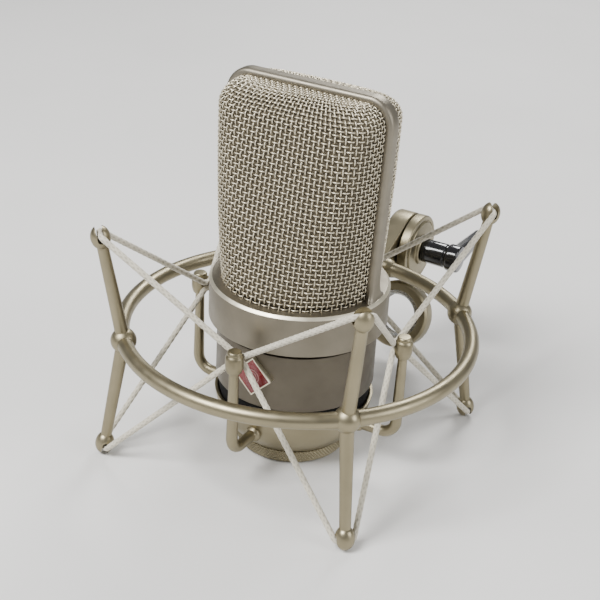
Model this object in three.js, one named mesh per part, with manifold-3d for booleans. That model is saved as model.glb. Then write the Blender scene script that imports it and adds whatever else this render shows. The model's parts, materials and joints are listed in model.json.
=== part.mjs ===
// Side-address condenser microphone in an elastic cradle suspension.
// Millimetres, +Z up. The origin is on the microphone's axis at the level it stands on:
// the badge and the front grille face -Y, the stand swivel is at +Y.

import * as THREE from 'three';
import { mergeVertices } from 'three/addons/utils/BufferGeometryUtils.js';
import Module from 'manifold-3d';

const wasm = await Module();
wasm.setup();

// ---- driving dimensions -------------------------------------------------------------------

const GAP = 0.3;                 // running gap kept between neighbouring pieces

// microphone housing
const COLLAR_R = 30;
const COLLAR_BOTTOM = 48;
const COLLAR_TOP = 62;
const BODY_R = 27;
const BODY_WALL = 1.6;
const BODY_TOP = 58.6;
const BODY_SHOULDER = 25.5;      // where the straight tube ends above the cup
const CONE_TOP_R = 24.1;         // the cone below it, held by the cup
const CONE_KNEE = [21.3, 12.9];  // radius and height where the cone steepens
const CONE_END_R = 18;
const BODY_BOTTOM = 8.8;
const TAIL_R = 12.8;             // threaded tail below the body
const TAIL_BORE = 9;
const TAIL_END = 0.8;

// head
const HEAD_BASE = COLLAR_TOP + GAP;
const HEAD_TOP = 127.1;          // top of the woven mesh
const CORNER_X = 6.8;            // the upper corners: how far in from the sides they start,
const CORNER_Y = 10;             // how far in from the front and rear,
const CORNER_Z = 7.5;            // and how far down from the top
const MESH_W_BASE = 26.2;        // half width of the mesh at the collar
const MESH_W_TOP = 28;
const MESH_D_BASE = 26.2;        // half depth of the mesh at the collar
const MESH_D_TOP = 17.6;
const MESH_THICK = 1.2;
const SQUARE_BASE = 2;           // exponent of the level section: 2 is an ellipse, 4 a rounded box
const SQUARE_TOP = 4;
const GAUZE_INSET = 1.7;
const GAUZE_THICK = 0.6;
const BAND_HALF = 2.7;            // half the band's width from front to rear
const BAND_PROUD = 1.9;          // how far the band stands out of the mesh
const BAND_INSET = 1.8;

// capsule
const CAPSULE_Z = 97;
const CAPSULE_R = 17;
const DIAPHRAGM_R = 13.1;

// suspension cage
const HOOP_Z = 43;
const HOOP_R = 58.6;
const HOOP_ROD = 2.6;
const POST_COUNT = 4;
const POST_AZIMUTH = Math.PI / 4;
const POST_TOP = [65.4, 80.5];   // radius and height of the upper tip's centre
const POST_BOTTOM = [65.4, 3.95];
const POST_ROD_JOINT = 2.25;
const POST_ROD_TIP = 1.75;
const JOINT_BALL = 4;
const TIP_R = 3.2;
const TIP_HALF = 3.9;
const SLOT_WIDTH = 2.5;
const SLOT_DEPTH = 4.6;

// inner cradle
const INNER_R = 39.5;            // radius of the upright rods
const INNER_TIP_Z = 47.7;
const INNER_TIP_R = 2.95;
const INNER_TIP_H = 8.2;
const INNER_LEG_Z = 14;
const INNER_BEND = 5.5;
const INNER_ROD = 1.8;
const CUP_RIM_Z = 20;
const CUP_RIM_R = 27.3;
const CUP_FLOOR_Z = 5.3;
const CUP_HOLE_R = 13.4;
const NUT_R = 19.4;
const NUT_TOP = 5;

// elastic cords
const CORD_R = 0.95;
const CORD_STACK = 1.25;         // height of each cord above or below the tip's middle
const CORD_WRAP = 2.6;           // distance of a cord's centre from the rod it passes

// stand swivel
const PIVOT_Y = 80;
const PIVOT_Z = 43.5;
const PIVOT_DISC_R = 13;
const LUG_HALF = 3.4;
const ARM_NEAR = 4.4;
const ARM_FAR = 7.9;
const ARM_LEAN = 19 * Math.PI / 180;
const ARM_REACH = 26.6;
const EYE_R = 13;
const EYE_HOLE = 9.7;
const EYE_HALF = 3.5;
const EYE_OFFSET = 5.3;          // eye centre, along the pivot
const THREAD_R = 7.9;            // 5/8 inch stand thread
const BOLT_R = 2.5;
const BOLT_HOLE = 2.85;
const BOSS_R = 5.5;
const BOSS_FAR = 9.6;
const KNOB_R = 4.6;
const LEVER_REACH = 25;
const LEVER_TIP_R = 2.2;
const LEVER_HUB_R = 5.2;
const LEVER_NEAR = 19.7;
const LEVER_FAR = 24.6;
const SLEEVE_R = 4.4;            // where the swivel's lug wraps the hoop
const SLEEVE_HALF = 7;

// facets
const ROUND = 32;
const SMALL_ROUND = 16;
const ROD_SIDES = 10;
const CORD_SIDES = 8;
const HEAD_ROWS = 10;

const V = (x, y, z) => new THREE.Vector3(x, y, z);
const AXIS_Z = V(0, 0, 1);

// ---- helpers: closed meshes, joins and cuts -----------------------------------------------

/** Keeps only positions, merges shared corners, drops empty triangles and faces them out. */
function closed(geometry) {
  const bare = geometry.clone();
  for (const name of Object.keys(bare.attributes)) {
    if (name !== 'position') bare.deleteAttribute(name);
  }
  const merged = mergeVertices(bare, 1e-4);
  const position = merged.attributes.position;
  const index = merged.index.array;
  const kept = [];
  const corner = [V(0, 0, 0), V(0, 0, 0), V(0, 0, 0)];
  let volume = 0;
  for (let i = 0; i < index.length; i += 3) {
    const [a, b, c] = [index[i], index[i + 1], index[i + 2]];
    if (a === b || b === c || a === c) continue;
    kept.push(a, b, c);
    [a, b, c].forEach((vertex, k) => corner[k].fromBufferAttribute(position, vertex));
    volume += corner[0].dot(corner[1].clone().cross(corner[2]));
  }
  if (volume < 0) {
    for (let i = 0; i < kept.length; i += 3) [kept[i], kept[i + 1]] = [kept[i + 1], kept[i]];
  }
  const result = new THREE.BufferGeometry();
  result.setAttribute('position', new THREE.BufferAttribute(new Float32Array(position.array), 3));
  result.setIndex(kept);
  return result;
}

function toSolid(geometry) {
  const mesh = closed(geometry);
  return new wasm.Manifold(new wasm.Mesh({
    numProp: 3,
    vertProperties: mesh.attributes.position.array,
    triVerts: new Uint32Array(mesh.index.array),
  }));
}

function toGeometry(solid) {
  const mesh = solid.getMesh();
  const geometry = new THREE.BufferGeometry();
  const points = new Float32Array(mesh.vertProperties);
  geometry.setAttribute('position', new THREE.BufferAttribute(points, 3));
  geometry.setIndex(Array.from(mesh.triVerts));
  return geometry;
}

function join(...geometries) {
  return toGeometry(geometries.map(toSolid).reduce((sum, next) => sum.add(next)));
}

function cut(geometry, ...tools) {
  return toGeometry(tools.map(toSolid).reduce((rest, tool) => rest.subtract(tool), toSolid(geometry)));
}

/** Solid of revolution about Z from [radius, height] pairs. */
function turned(profile, sides = ROUND, loop = true) {
  const points = profile.map(([radius, height]) => new THREE.Vector2(radius, height));
  if (loop) points.push(points[0].clone());
  return new THREE.LatheGeometry(points, sides).rotateX(Math.PI / 2);
}

/** Ring about Z between two radii and two heights. */
function ring(inner, outer, low, high, sides = ROUND) {
  return turned([[inner, low], [outer, low], [outer, high], [inner, high]], sides);
}

/** Round bar from one point to another, tapering from one radius to the other. */
function bar(from, to, radiusFrom, radiusTo = radiusFrom, sides = ROD_SIDES) {
  const along = to.clone().sub(from);
  const geometry = new THREE.CylinderGeometry(radiusTo, radiusFrom, along.length(), sides);
  const turn = new THREE.Quaternion().setFromUnitVectors(V(0, 1, 0), along.clone().normalize());
  const middle = from.clone().add(to).multiplyScalar(0.5);
  return geometry.applyQuaternion(turn).translate(middle.x, middle.y, middle.z);
}

function block(x, y, z, centre) {
  return new THREE.BoxGeometry(x, y, z).translate(...centre);
}

/** Round bar of one radius along an open curve. */
function rodAlong(path, radius, steps) {
  const section = new THREE.Shape().absarc(0, 0, radius, 0, 2 * Math.PI, false);
  return new THREE.ExtrudeGeometry(section, { steps, extrudePath: path, curveSegments: ROD_SIDES / 2 });
}

/** Flat outline in X and Y, thickened along Z from low to high. */
function plate(shape, low, high, curveSegments = 11) {
  const depth = high - low;
  const options = { depth, bevelEnabled: false, curveSegments };
  return new THREE.ExtrudeGeometry(shape, options).translate(0, 0, low);
}

/** Closed loop of round cord through a list of points. The cord never runs vertically. */
function cordLoop(points, radius, sides) {
  const rows = points.map((point, i) => {
    const before = points[(i + points.length - 1) % points.length];
    const after = points[(i + 1) % points.length];
    const incoming = point.clone().sub(before).normalize();
    const outgoing = after.clone().sub(point).normalize();
    const tangent = incoming.add(outgoing).normalize();
    const across = AXIS_Z.clone().cross(tangent).normalize();
    return { point, across, over: tangent.cross(across) };
  });
  const position = [];
  const index = [];
  rows.forEach(({ point, across, over }, row) => {
    const next = (row + 1) % rows.length;
    for (let side = 0; side < sides; side += 1) {
      const angle = side / sides * 2 * Math.PI;
      const offset = across.clone().multiplyScalar(radius * Math.cos(angle))
        .addScaledVector(over, radius * Math.sin(angle));
      position.push(...point.clone().add(offset).toArray());
      const beside = (side + 1) % sides;
      const [a, b] = [row * sides + side, row * sides + beside];
      const [c, d] = [next * sides + side, next * sides + beside];
      index.push(a, b, c, b, d, c);
    }
  });
  const geometry = new THREE.BufferGeometry();
  geometry.setAttribute('position', new THREE.Float32BufferAttribute(position, 3));
  geometry.setIndex(index);
  return geometry;
}

/** Closed shell between two surfaces, each a function of a column and a row from 0 to 1. */
function shell(outer, inner, columns, rows) {
  const position = [];
  const index = [];
  const width = columns + 1;
  const layer = width * (rows + 1);
  for (const surface of [outer, inner]) {
    for (let row = 0; row <= rows; row += 1) {
      for (let column = 0; column <= columns; column += 1) {
        position.push(...surface(column / columns, row / rows));
      }
    }
  }
  const quad = (a, b, c, d) => index.push(a, b, c, a, c, d);
  for (let row = 0; row < rows; row += 1) {
    for (let column = 0; column < columns; column += 1) {
      const a = row * width + column;
      quad(a, a + 1, a + 1 + width, a + width);
      quad(layer + a + width, layer + a + 1 + width, layer + a + 1, layer + a);
    }
  }
  for (let column = 0; column < columns; column += 1) {
    const top = rows * width + column;
    quad(layer + column, layer + column + 1, column + 1, column);
    quad(top, top + 1, layer + top + 1, layer + top);
  }
  for (let row = 0; row < rows; row += 1) {
    const left = row * width;
    const right = left + columns;
    quad(left, left + width, layer + left + width, layer + left);
    quad(right + width, right, layer + right, layer + right + width);
  }
  const geometry = new THREE.BufferGeometry();
  geometry.setAttribute('position', new THREE.Float32BufferAttribute(position, 3));
  geometry.setIndex(index);
  return geometry;
}

// ---- finishes -----------------------------------------------------------------------------

const FINISHES = {
  nickel_light: [0xc6c1b2, 0.34, 1],
  nickel_body: [0x9c9588, 0.42, 1],
  cage_satin: [0xa7a08a, 0.45, 1],
  woven_wire: [0xc3bcaa, 0.4, 1],
  gauze: [0x6d675c, 0.6, 1],
  felt: [0x151515, 0.95, 0],
  black_plastic: [0x17171a, 0.4, 0],
  bright_steel: [0xc9c9c6, 0.25, 1],
  brass: [0xb08d4a, 0.35, 1],
  gold_film: [0xc9a648, 0.3, 1],
  enamel_red: [0xa5161c, 0.25, 0],
  board_green: [0x1f4a2c, 0.6, 0],
  component_blue: [0x27466f, 0.5, 0],
  elastic: [0xd8d4c6, 0.9, 0],
  rubber: [0x1c1c1c, 0.9, 0],
};

const group = new THREE.Group();

function add(name, geometry, finish) {
  const [color, roughness, metalness] = FINISHES[finish];
  const material = new THREE.MeshStandardMaterial({ color, roughness, metalness });
  const mesh = new THREE.Mesh(closed(geometry), material);
  mesh.name = name;
  group.add(mesh);
  return mesh;
}

// ---- head: band, woven grilles and inner gauze ----------------------------------------------

const HEAD_SHOULDER = HEAD_TOP - CORNER_Z;
const SHOULDER_ROW = 0.4;        // share of the rows below the rounded top
const ROUND_ROW = 0.9;           // share of the rows below the flat top

/** Half width, half depth, exponent and height of the head's level section, inset from its face. */
function headSection(row, inset) {
  const rise = Math.min(row / SHOULDER_ROW, 1);
  const bend = Math.min(Math.max((row - SHOULDER_ROW) / (ROUND_ROW - SHOULDER_ROW), 0), 1);
  const angle = bend * Math.PI / 2;
  const tuck = 1 - Math.cos(angle);
  const straightWidth = THREE.MathUtils.lerp(MESH_W_BASE, MESH_W_TOP, rise) - inset;
  const straightDepth = THREE.MathUtils.lerp(MESH_D_BASE, MESH_D_TOP, rise) - inset;
  const width = straightWidth - (CORNER_X - inset) * tuck;
  const depth = straightDepth - (CORNER_Y - inset) * tuck;
  const straightTop = THREE.MathUtils.lerp(HEAD_BASE, HEAD_SHOULDER, rise);
  const square = THREE.MathUtils.lerp(SQUARE_BASE, SQUARE_TOP, rise);
  return { width, depth, square, z: straightTop + (CORNER_Z - inset) * Math.sin(angle) };
}

/** One half of the head's skin: side -1 is the front, +1 the rear. */
function headSurface(side, inset) {
  const edge = BAND_HALF + GAP;
  return (column, row) => {
    const { width, depth, square, z } = headSection(row, inset);
    const limit = Math.acos((edge / depth) ** (square / 2));
    const angle = THREE.MathUtils.lerp(-limit, limit, column);
    const x = Math.sign(angle) * width * Math.abs(Math.sin(angle)) ** (2 / square);
    const flat = Math.max((row - ROUND_ROW) / (1 - ROUND_ROW), 0);
    const y = THREE.MathUtils.lerp(depth * Math.cos(angle) ** (2 / square), edge, flat);
    return [x, side * y, z];
  };
}

/** The band's outline in X and Z, a given distance outside (+) or inside (-) the mesh. */
function bandOutline(offset) {
  const shoulderX = MESH_W_TOP - CORNER_X;
  const points = [[MESH_W_BASE + offset, HEAD_BASE]];
  const steps = 6;
  for (let i = 0; i <= steps; i += 1) {
    const angle = i / steps * Math.PI / 2;
    const x = shoulderX + (CORNER_X + offset) * Math.cos(angle);
    points.push([x, HEAD_SHOULDER + (CORNER_Z + offset) * Math.sin(angle)]);
  }
  const mirrored = points.map(([x, z]) => [-x, z]).reverse();
  return points.concat(mirrored);
}

function headBand() {
  const outline = bandOutline(BAND_PROUD).concat(bandOutline(-BAND_INSET).reverse());
  const shape = new THREE.Shape(outline.map(([x, z]) => new THREE.Vector2(x, z)));
  return plate(shape, -BAND_HALF, BAND_HALF).rotateX(Math.PI / 2);
}

function headHalf(side, inset, thickness, columns) {
  return shell(headSurface(side, inset), headSurface(side, inset + thickness), columns, HEAD_ROWS);
}

add('head_band', headBand(), 'nickel_light');
for (const [name, side] of [['front', -1], ['rear', 1]]) {
  add(`grille_${name}`, headHalf(side, 0, MESH_THICK, 16), 'woven_wire');
  add(`gauze_${name}`, headHalf(side, GAUZE_INSET, GAUZE_THICK, 16), 'gauze');
}

// ---- housing: collar, body tube, threaded tail and connector --------------------------------

const DECK_R = 23.2;
const DECK_BOTTOM = 59;
const EDGE = 1;

add('collar_ring', turned([
  [BODY_R + GAP, COLLAR_BOTTOM],
  [COLLAR_R - 0.4, COLLAR_BOTTOM],
  [COLLAR_R, COLLAR_BOTTOM + 0.4],
  [COLLAR_R, COLLAR_TOP - EDGE],
  [COLLAR_R - EDGE, COLLAR_TOP],
  [DECK_R + GAP, COLLAR_TOP],
  [DECK_R + GAP, DECK_BOTTOM],
  [BODY_R + GAP, DECK_BOTTOM],
]), 'nickel_light');

// The tube steps in above the cup and narrows to a cone that the cup holds.
const BODY_CONE = [[CONE_TOP_R, BODY_SHOULDER], CONE_KNEE, [CONE_END_R, BODY_BOTTOM]];

add('body_tube', turned([
  [BODY_R, BODY_TOP],
  [BODY_R, BODY_SHOULDER + 0.6],
  [BODY_R - 0.6, BODY_SHOULDER],
  ...BODY_CONE,
  [TAIL_R + 1.5, BODY_BOTTOM],
  [TAIL_R + 1.5, BODY_BOTTOM + BODY_WALL],
  [CONE_END_R - 0.8, BODY_BOTTOM + BODY_WALL],
  [CONE_KNEE[0] - BODY_WALL, CONE_KNEE[1] + 0.7],
  [CONE_TOP_R - BODY_WALL, BODY_SHOULDER + BODY_WALL],
  [BODY_R - BODY_WALL, BODY_SHOULDER + 2],
  [BODY_R - BODY_WALL, BODY_TOP],
]), 'nickel_body');

const FLANGE_BOTTOM = BODY_BOTTOM + BODY_WALL + GAP;
const FLANGE_TOP = FLANGE_BOTTOM + 2;
const FLANGE_R = 16.4;
const SOCKET_R = 11;             // outside of the connector's socket
const SOCKET_TOP = 21;
const INSERT_BOTTOM = 14;
const INSERT_TOP = 20;

add('threaded_tail', turned([
  [TAIL_BORE, TAIL_END],
  [TAIL_R - 0.5, TAIL_END],
  [TAIL_R, TAIL_END + 0.5],
  [TAIL_R, FLANGE_BOTTOM],
  [FLANGE_R, FLANGE_BOTTOM],
  [FLANGE_R, FLANGE_TOP],
  [SOCKET_R, FLANGE_TOP],
  [SOCKET_R, SOCKET_TOP],
  [TAIL_BORE, SOCKET_TOP],
]), 'bright_steel');

add('connector_insert', turned([
  [0, INSERT_BOTTOM],
  [TAIL_BORE - GAP, INSERT_BOTTOM],
  [TAIL_BORE - GAP, INSERT_TOP],
  [0, INSERT_TOP],
], SMALL_ROUND, false), 'black_plastic');

const PIN_CIRCLE = 4.75;
const PIN_R = 1.2;
const PIN_END = 4.4;
for (let pin = 0; pin < 3; pin += 1) {
  const angle = Math.PI * (0.5 + pin * 0.5);
  const [x, y] = [PIN_CIRCLE * Math.cos(angle), PIN_CIRCLE * Math.sin(angle)];
  const top = INSERT_BOTTOM - GAP;
  const tip = new THREE.SphereGeometry(PIN_R, 8, 6).translate(x, y, PIN_END);
  const shaft = bar(V(x, y, PIN_END), V(x, y, top), PIN_R, PIN_R, 8);
  add(`contact_pin_${pin + 1}`, join(shaft, tip), 'brass');
}

// Heads of the three screws that hold the tail's flange.
const SCREW_CIRCLE = 13.6;
for (let screw = 0; screw < 3; screw += 1) {
  const angle = Math.PI / 6 + screw * Math.PI * 2 / 3;
  const [x, y] = [SCREW_CIRCLE * Math.cos(angle), SCREW_CIRCLE * Math.sin(angle)];
  const low = FLANGE_TOP + GAP;
  const head = bar(V(x, y, low), V(x, y, low + 1.6), 1.6, 1.6, 8);
  add(`tail_screw_${screw + 1}`, head, 'bright_steel');
}

// ---- badge: a square turned on its corner ------------------------------------------------------

const BADGE_Z = 37.1;
const BADGE_SIDE = 9.8;
const BADGE_FACE = 28.6;
const ENAMEL_SIDE = 8;
const ENAMEL_DEPTH = 0.7;
const ENAMEL_THICK = 0.35;

function badgePlate(side, near, far) {
  const plateBlock = new THREE.BoxGeometry(side, far - near, side).rotateY(Math.PI / 4);
  return plateBlock.translate(0, -(near + far) / 2, BADGE_Z);
}
const bodyFace = ring(0.5, BODY_R + GAP, 20, 55, 60);
const recess = badgePlate(ENAMEL_SIDE + 2 * GAP, BADGE_FACE - ENAMEL_DEPTH, BADGE_FACE + 1);
add('badge_frame', cut(badgePlate(BADGE_SIDE, 25, BADGE_FACE), bodyFace, recess), 'bright_steel');
const enamelBack = BADGE_FACE - ENAMEL_DEPTH + GAP;
add('badge_enamel', badgePlate(ENAMEL_SIDE, enamelBack, enamelBack + ENAMEL_THICK), 'enamel_red');

// ---- electronics and capsule ---------------------------------------------------------------------

const BOARD_Y = 7;
const BOARD = [34, 1.6, 32];     // width, thickness and height
const BOARD_Z = 41;
const RAIL_X = 15;
add('deck_plate', turned([
  [0, DECK_BOTTOM + GAP],
  [DECK_R, DECK_BOTTOM + GAP],
  [DECK_R, COLLAR_TOP],
  [0, COLLAR_TOP],
], ROUND, false), 'black_plastic');
for (const [name, x] of [['left', -RAIL_X], ['right', RAIL_X]]) {
  const rail = bar(V(x, 0, FLANGE_TOP + 2.6), V(x, 0, DECK_BOTTOM), 1.5, 1.5, 8);
  add(`chassis_rail_${name}`, rail, 'bright_steel');
  const screw = bar(V(x, 0, COLLAR_TOP + GAP), V(x, 0, COLLAR_TOP + 1.6), 2, 2, 10);
  add(`deck_screw_${name}`, screw, 'bright_steel');
}
add('circuit_board_front', block(...BOARD, [0, -BOARD_Y, BOARD_Z]), 'board_green');
add('circuit_board_rear', block(...BOARD, [0, BOARD_Y, BOARD_Z]), 'board_green');

// Each can's name, middle in X and Z, and radius.
const CANS = [['coupling', -8, 48, 4.5], ['filter', 8, 48, 4.5], ['supply', 0, 34, 5]];
const CAN_HALF = 6;
const outward = BOARD_Y + BOARD[1] / 2 + GAP;
for (const [name, x, z, radius] of CANS) {
  const y = -outward - radius;
  const can = bar(V(x - CAN_HALF, y, z), V(x + CAN_HALF, y, z), radius, radius, 12);
  add(`capacitor_${name}`, can, 'component_blue');
}
add('input_transistor', block(5, 5, 5, [0, outward + 2.5, 50]), 'black_plastic');
add('voltage_converter', block(12, 7, 10, [0, outward + 3.5, 33]), 'black_plastic');

const RUBBER_TOP = COLLAR_TOP + 3.6;
const POST_FOOT = RUBBER_TOP + GAP;
const STEM_R = 3.2;
add('capsule_rubber', turned([
  [0, COLLAR_TOP + GAP],
  [9, COLLAR_TOP + GAP],
  [7.5, RUBBER_TOP],
  [0, RUBBER_TOP],
], SMALL_ROUND, false), 'rubber');
const postTop = CAPSULE_Z - CAPSULE_R - 1;
add('capsule_post', turned([
  [0, POST_FOOT],
  [5.5, POST_FOOT],
  [STEM_R, POST_FOOT + 3.1],
  [STEM_R, postTop - 2],
  [5, postTop],
  [0, postTop],
], SMALL_ROUND, false), 'brass');

const PLATE_HALF = 3;            // half the thickness of the capsule's perforated plate
const FILM_THICK = 0.5;
const RING_THICK = 1.9;

/** A disc or ring of the capsule, whose axis runs from front to rear. */
function capsulePiece(inner, outer, near, far) {
  const profile = inner > 0
    ? [[inner, near], [outer, near], [outer, far], [inner, far]]
    : [[0, near], [outer, near], [outer, far], [0, far]];
  return turned(profile, 28, inner > 0).rotateX(-Math.PI / 2).translate(0, 0, CAPSULE_Z);
}
add('capsule_backplate', capsulePiece(0, CAPSULE_R - 0.6, -PLATE_HALF, PLATE_HALF), 'brass');
const near = PLATE_HALF + GAP;
for (const [name, side] of [['front', -1], ['rear', 1]]) {
  const film = [side * near, side * (near + FILM_THICK)].sort((a, b) => a - b);
  const clamp = [side * near, side * (near + RING_THICK)].sort((a, b) => a - b);
  add(`diaphragm_${name}`, capsulePiece(0, DIAPHRAGM_R, ...film), 'gold_film');
  add(`clamp_ring_${name}`, capsulePiece(DIAPHRAGM_R + GAP, CAPSULE_R, ...clamp), 'brass');
}

// ---- cage: hoop, outer posts and their slotted tips ------------------------------------------------

const atAzimuth = (geometry, azimuth) => geometry.rotateZ(azimuth);

/** Round bar bent along the hoop between two azimuths. */
function hoopRod(from, to, radius, steps) {
  const points = [];
  for (let i = 0; i <= steps; i += 1) {
    const angle = THREE.MathUtils.lerp(from, to, i / steps);
    points.push(V(HOOP_R * Math.cos(angle), HOOP_R * Math.sin(angle), HOOP_Z));
  }
  const path = new THREE.CatmullRomCurve3(points);
  return rodAlong(path, radius, steps);
}

/** The upper or lower cord: from tip to tip, past the microphone side of each inner rod. */
function cordPoints(tip, level) {
  const points = [];
  const slotHalf = TIP_R;
  for (let k = 0; k < POST_COUNT; k += 1) {
    const turn = POST_AZIMUTH + k * Math.PI / 2;
    const [tipR, tipZ] = tip;
    for (const [inward, along] of [[1.6, -slotHalf], [0.25, -1], [0.25, 1], [1.6, slotHalf]]) {
      points.push(V(tipR - inward, along, tipZ).applyAxisAngle(AXIS_Z, turn));
    }
    const inner = turn + Math.PI / 4;
    for (const [inward, along] of [[CORD_WRAP - 0.45, -2.4], [CORD_WRAP, -0.9], [CORD_WRAP, 0.9],
      [CORD_WRAP - 0.45, 2.4]]) {
      points.push(V(INNER_R - inward, along, level).applyAxisAngle(AXIS_Z, inner));
    }
  }
  return points;
}
const upperCord = cordPoints([POST_TOP[0] + 0.1, POST_TOP[1] + 0.9], INNER_TIP_Z + CORD_STACK);
const lowerCord = cordPoints([POST_BOTTOM[0] + 0.1, POST_BOTTOM[1] - 0.9], INNER_TIP_Z - CORD_STACK);
const cordRoom = [upperCord, lowerCord].map((points) => cordLoop(points, CORD_R + GAP, 6));

/** Barrel-shaped tip with a slot across its end that the cord is pushed into. */
function slottedTip(end, joint) {
  const along = V(end[0] - joint[0], 0, end[1] - joint[1]).normalize();
  const turn = new THREE.Quaternion().setFromUnitVectors(AXIS_Z, along);
  const place = (geometry) => geometry.applyQuaternion(turn).translate(end[0], 0, end[1]);
  const ball = new THREE.SphereGeometry(TIP_R, 10, 8).rotateX(Math.PI / 2);
  const slotMiddle = TIP_HALF + 1 - SLOT_DEPTH / 2;
  const slot = new THREE.BoxGeometry(SLOT_WIDTH, 3 * TIP_R, SLOT_DEPTH + 1).translate(0, 0, slotMiddle);
  return { barrel: place(ball.scale(1, 1, TIP_HALF / TIP_R)), slot: place(slot) };
}

function outerPost(azimuth) {
  const joint = [HOOP_R, HOOP_Z];
  const centre = V(joint[0], 0, joint[1]);
  const tips = [POST_TOP, POST_BOTTOM].map((end) => ({ end, ...slottedTip(end, joint) }));
  const rods = tips.map(({ end }) => bar(centre, V(end[0], 0, end[1]), POST_ROD_JOINT, POST_ROD_TIP));
  const ball = new THREE.SphereGeometry(JOINT_BALL, 12, 8).rotateX(Math.PI / 2)
    .translate(centre.x, 0, centre.z);
  const whole = join(ball, ...rods, ...tips.map(({ barrel }) => barrel));
  const slotted = cut(whole, ...tips.map(({ slot }) => slot));
  const placed = atAzimuth(slotted, azimuth);
  return cut(placed, ...cordRoom);
}

const ballAngle = Math.asin((JOINT_BALL + GAP) / HOOP_R);
for (let k = 0; k < POST_COUNT; k += 1) {
  const azimuth = POST_AZIMUTH + k * Math.PI / 2;
  add(`outer_post_${k + 1}`, outerPost(azimuth), 'cage_satin');
  const arc = hoopRod(azimuth + ballAngle, azimuth + Math.PI / 2 - ballAngle, HOOP_ROD, 10);
  add(`hoop_arc_${k + 1}`, arc, 'cage_satin');
}
add('elastic_upper', cordLoop(upperCord, CORD_R, CORD_SIDES), 'elastic');
add('elastic_lower', cordLoop(lowerCord, CORD_R, CORD_SIDES), 'elastic');

// ---- cradle: cup, felt, inner rods and nut -----------------------------------------------------------

const CUP_OUTSIDE = [
  [CUP_RIM_R, CUP_RIM_Z],
  [26.6, 16.5],
  [24.4, 10.5],
  [20.4, 6.1],
  [19.4, CUP_FLOOR_Z],
];
const CUP_FLOOR_TOP = 7.5;
const CUP_INSIDE = [[19.4, CUP_FLOOR_TOP], [23.1, 11.8], [25.2, 17], [25.9, CUP_RIM_Z]];
const FELT_TOP = BODY_SHOULDER - GAP;

add('cradle_cup', turned([
  ...CUP_OUTSIDE,
  [CUP_HOLE_R, CUP_FLOOR_Z],
  [CUP_HOLE_R, CUP_FLOOR_TOP],
  ...CUP_INSIDE,
]), 'cage_satin');
add('felt_ring', turned([
  [25.9, FELT_TOP - 0.5],
  [25.5, CUP_RIM_Z],
  [24.8, 17],
  [22.8, 12.1],
  [21.9, 12.9],
  [23.2, 17.6],
  [24.6, FELT_TOP],
  [25.4, FELT_TOP],
]), 'felt');

add('knurled_nut', turned([
  [TAIL_R + GAP, 0], [NUT_R - 1.4, 0], [NUT_R, 1.4], [NUT_R, NUT_TOP - 0.4],
  [NUT_R - 0.4, NUT_TOP], [TAIL_R + GAP, NUT_TOP],
]), 'cage_satin');

const BARREL_EDGE = 0.85;

/** Upright rod that bends inwards under the hoop and is fixed into the cup's side. */
function innerPost(azimuth) {
  const path = new THREE.CurvePath();
  const bendStart = V(INNER_R, 0, INNER_LEG_Z + INNER_BEND);
  const bendEnd = V(INNER_R - INNER_BEND, 0, INNER_LEG_Z);
  path.add(new THREE.LineCurve3(V(INNER_R, 0, INNER_TIP_Z), bendStart));
  path.add(new THREE.QuadraticBezierCurve3(bendStart, V(INNER_R, 0, INNER_LEG_Z), bendEnd));
  path.add(new THREE.LineCurve3(bendEnd, V(CUP_RIM_R - 4, 0, INNER_LEG_Z)));
  const rod = rodAlong(path, INNER_ROD, 14);
  const half = INNER_TIP_H / 2;
  const barrel = turned([
    [0, -half],
    [INNER_TIP_R - BARREL_EDGE, -half],
    [INNER_TIP_R, -half + BARREL_EDGE],
    [INNER_TIP_R, half - BARREL_EDGE],
    [INNER_TIP_R - BARREL_EDGE, half],
    [0, half],
  ], 12, false).translate(INNER_R, 0, INNER_TIP_Z);
  const roomWall = CUP_OUTSIDE.map(([radius, z]) => [radius + GAP, z]).reverse();
  const cupRoom = turned([[0, CUP_FLOOR_Z], ...roomWall, [0, CUP_RIM_Z]], ROUND, false);
  const placed = atAzimuth(join(rod, barrel), azimuth);
  return cut(placed, cupRoom, ...cordRoom);
}
for (let k = 0; k < POST_COUNT; k += 1) {
  add(`inner_post_${k + 1}`, innerPost(k * Math.PI / 2), 'cage_satin');
}

// ---- stand swivel: lug on the hoop, arm with threaded eye, clamp lever ---------------------------------

// Swivel pieces are drawn in a side view (X away from the microphone, Y up) and thickened along
// the pivot, then turned so that the pivot lies along +X and the pieces stand at the rear.
const sideOn = (geometry) => geometry.applyMatrix4(new THREE.Matrix4().makeBasis(
  V(0, 1, 0), V(0, 0, 1), V(1, 0, 0))).translate(0, PIVOT_Y, PIVOT_Z);

const circle = (x, y, radius) => new THREE.Shape().absarc(x, y, radius, 0, 2 * Math.PI, false);

/** Disc about the pivot, between two places along it. */
function disc(radius, low, high, segments = 16) {
  return sideOn(plate(circle(0, 0, radius), low, high, segments));
}

/** Outline of two circles joined by their outer tangents. */
function tangentPlate(near, nearRadius, far, farRadius) {
  const dx = far[0] - near[0];
  const dy = far[1] - near[1];
  const base = Math.atan2(dy, dx);
  const spread = Math.acos((nearRadius - farRadius) / Math.hypot(dx, dy));
  const shape = new THREE.Shape();
  shape.absarc(near[0], near[1], nearRadius, base + spread, base - spread + 2 * Math.PI, false);
  shape.absarc(far[0], far[1], farRadius, base - spread, base + spread, false);
  return shape;
}

const hoopLocal = [HOOP_R - PIVOT_Y, HOOP_Z - PIVOT_Z];
const boltRoom = sideOn(plate(circle(0, 0, BOLT_HOLE), -20, 20, 10));

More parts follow.
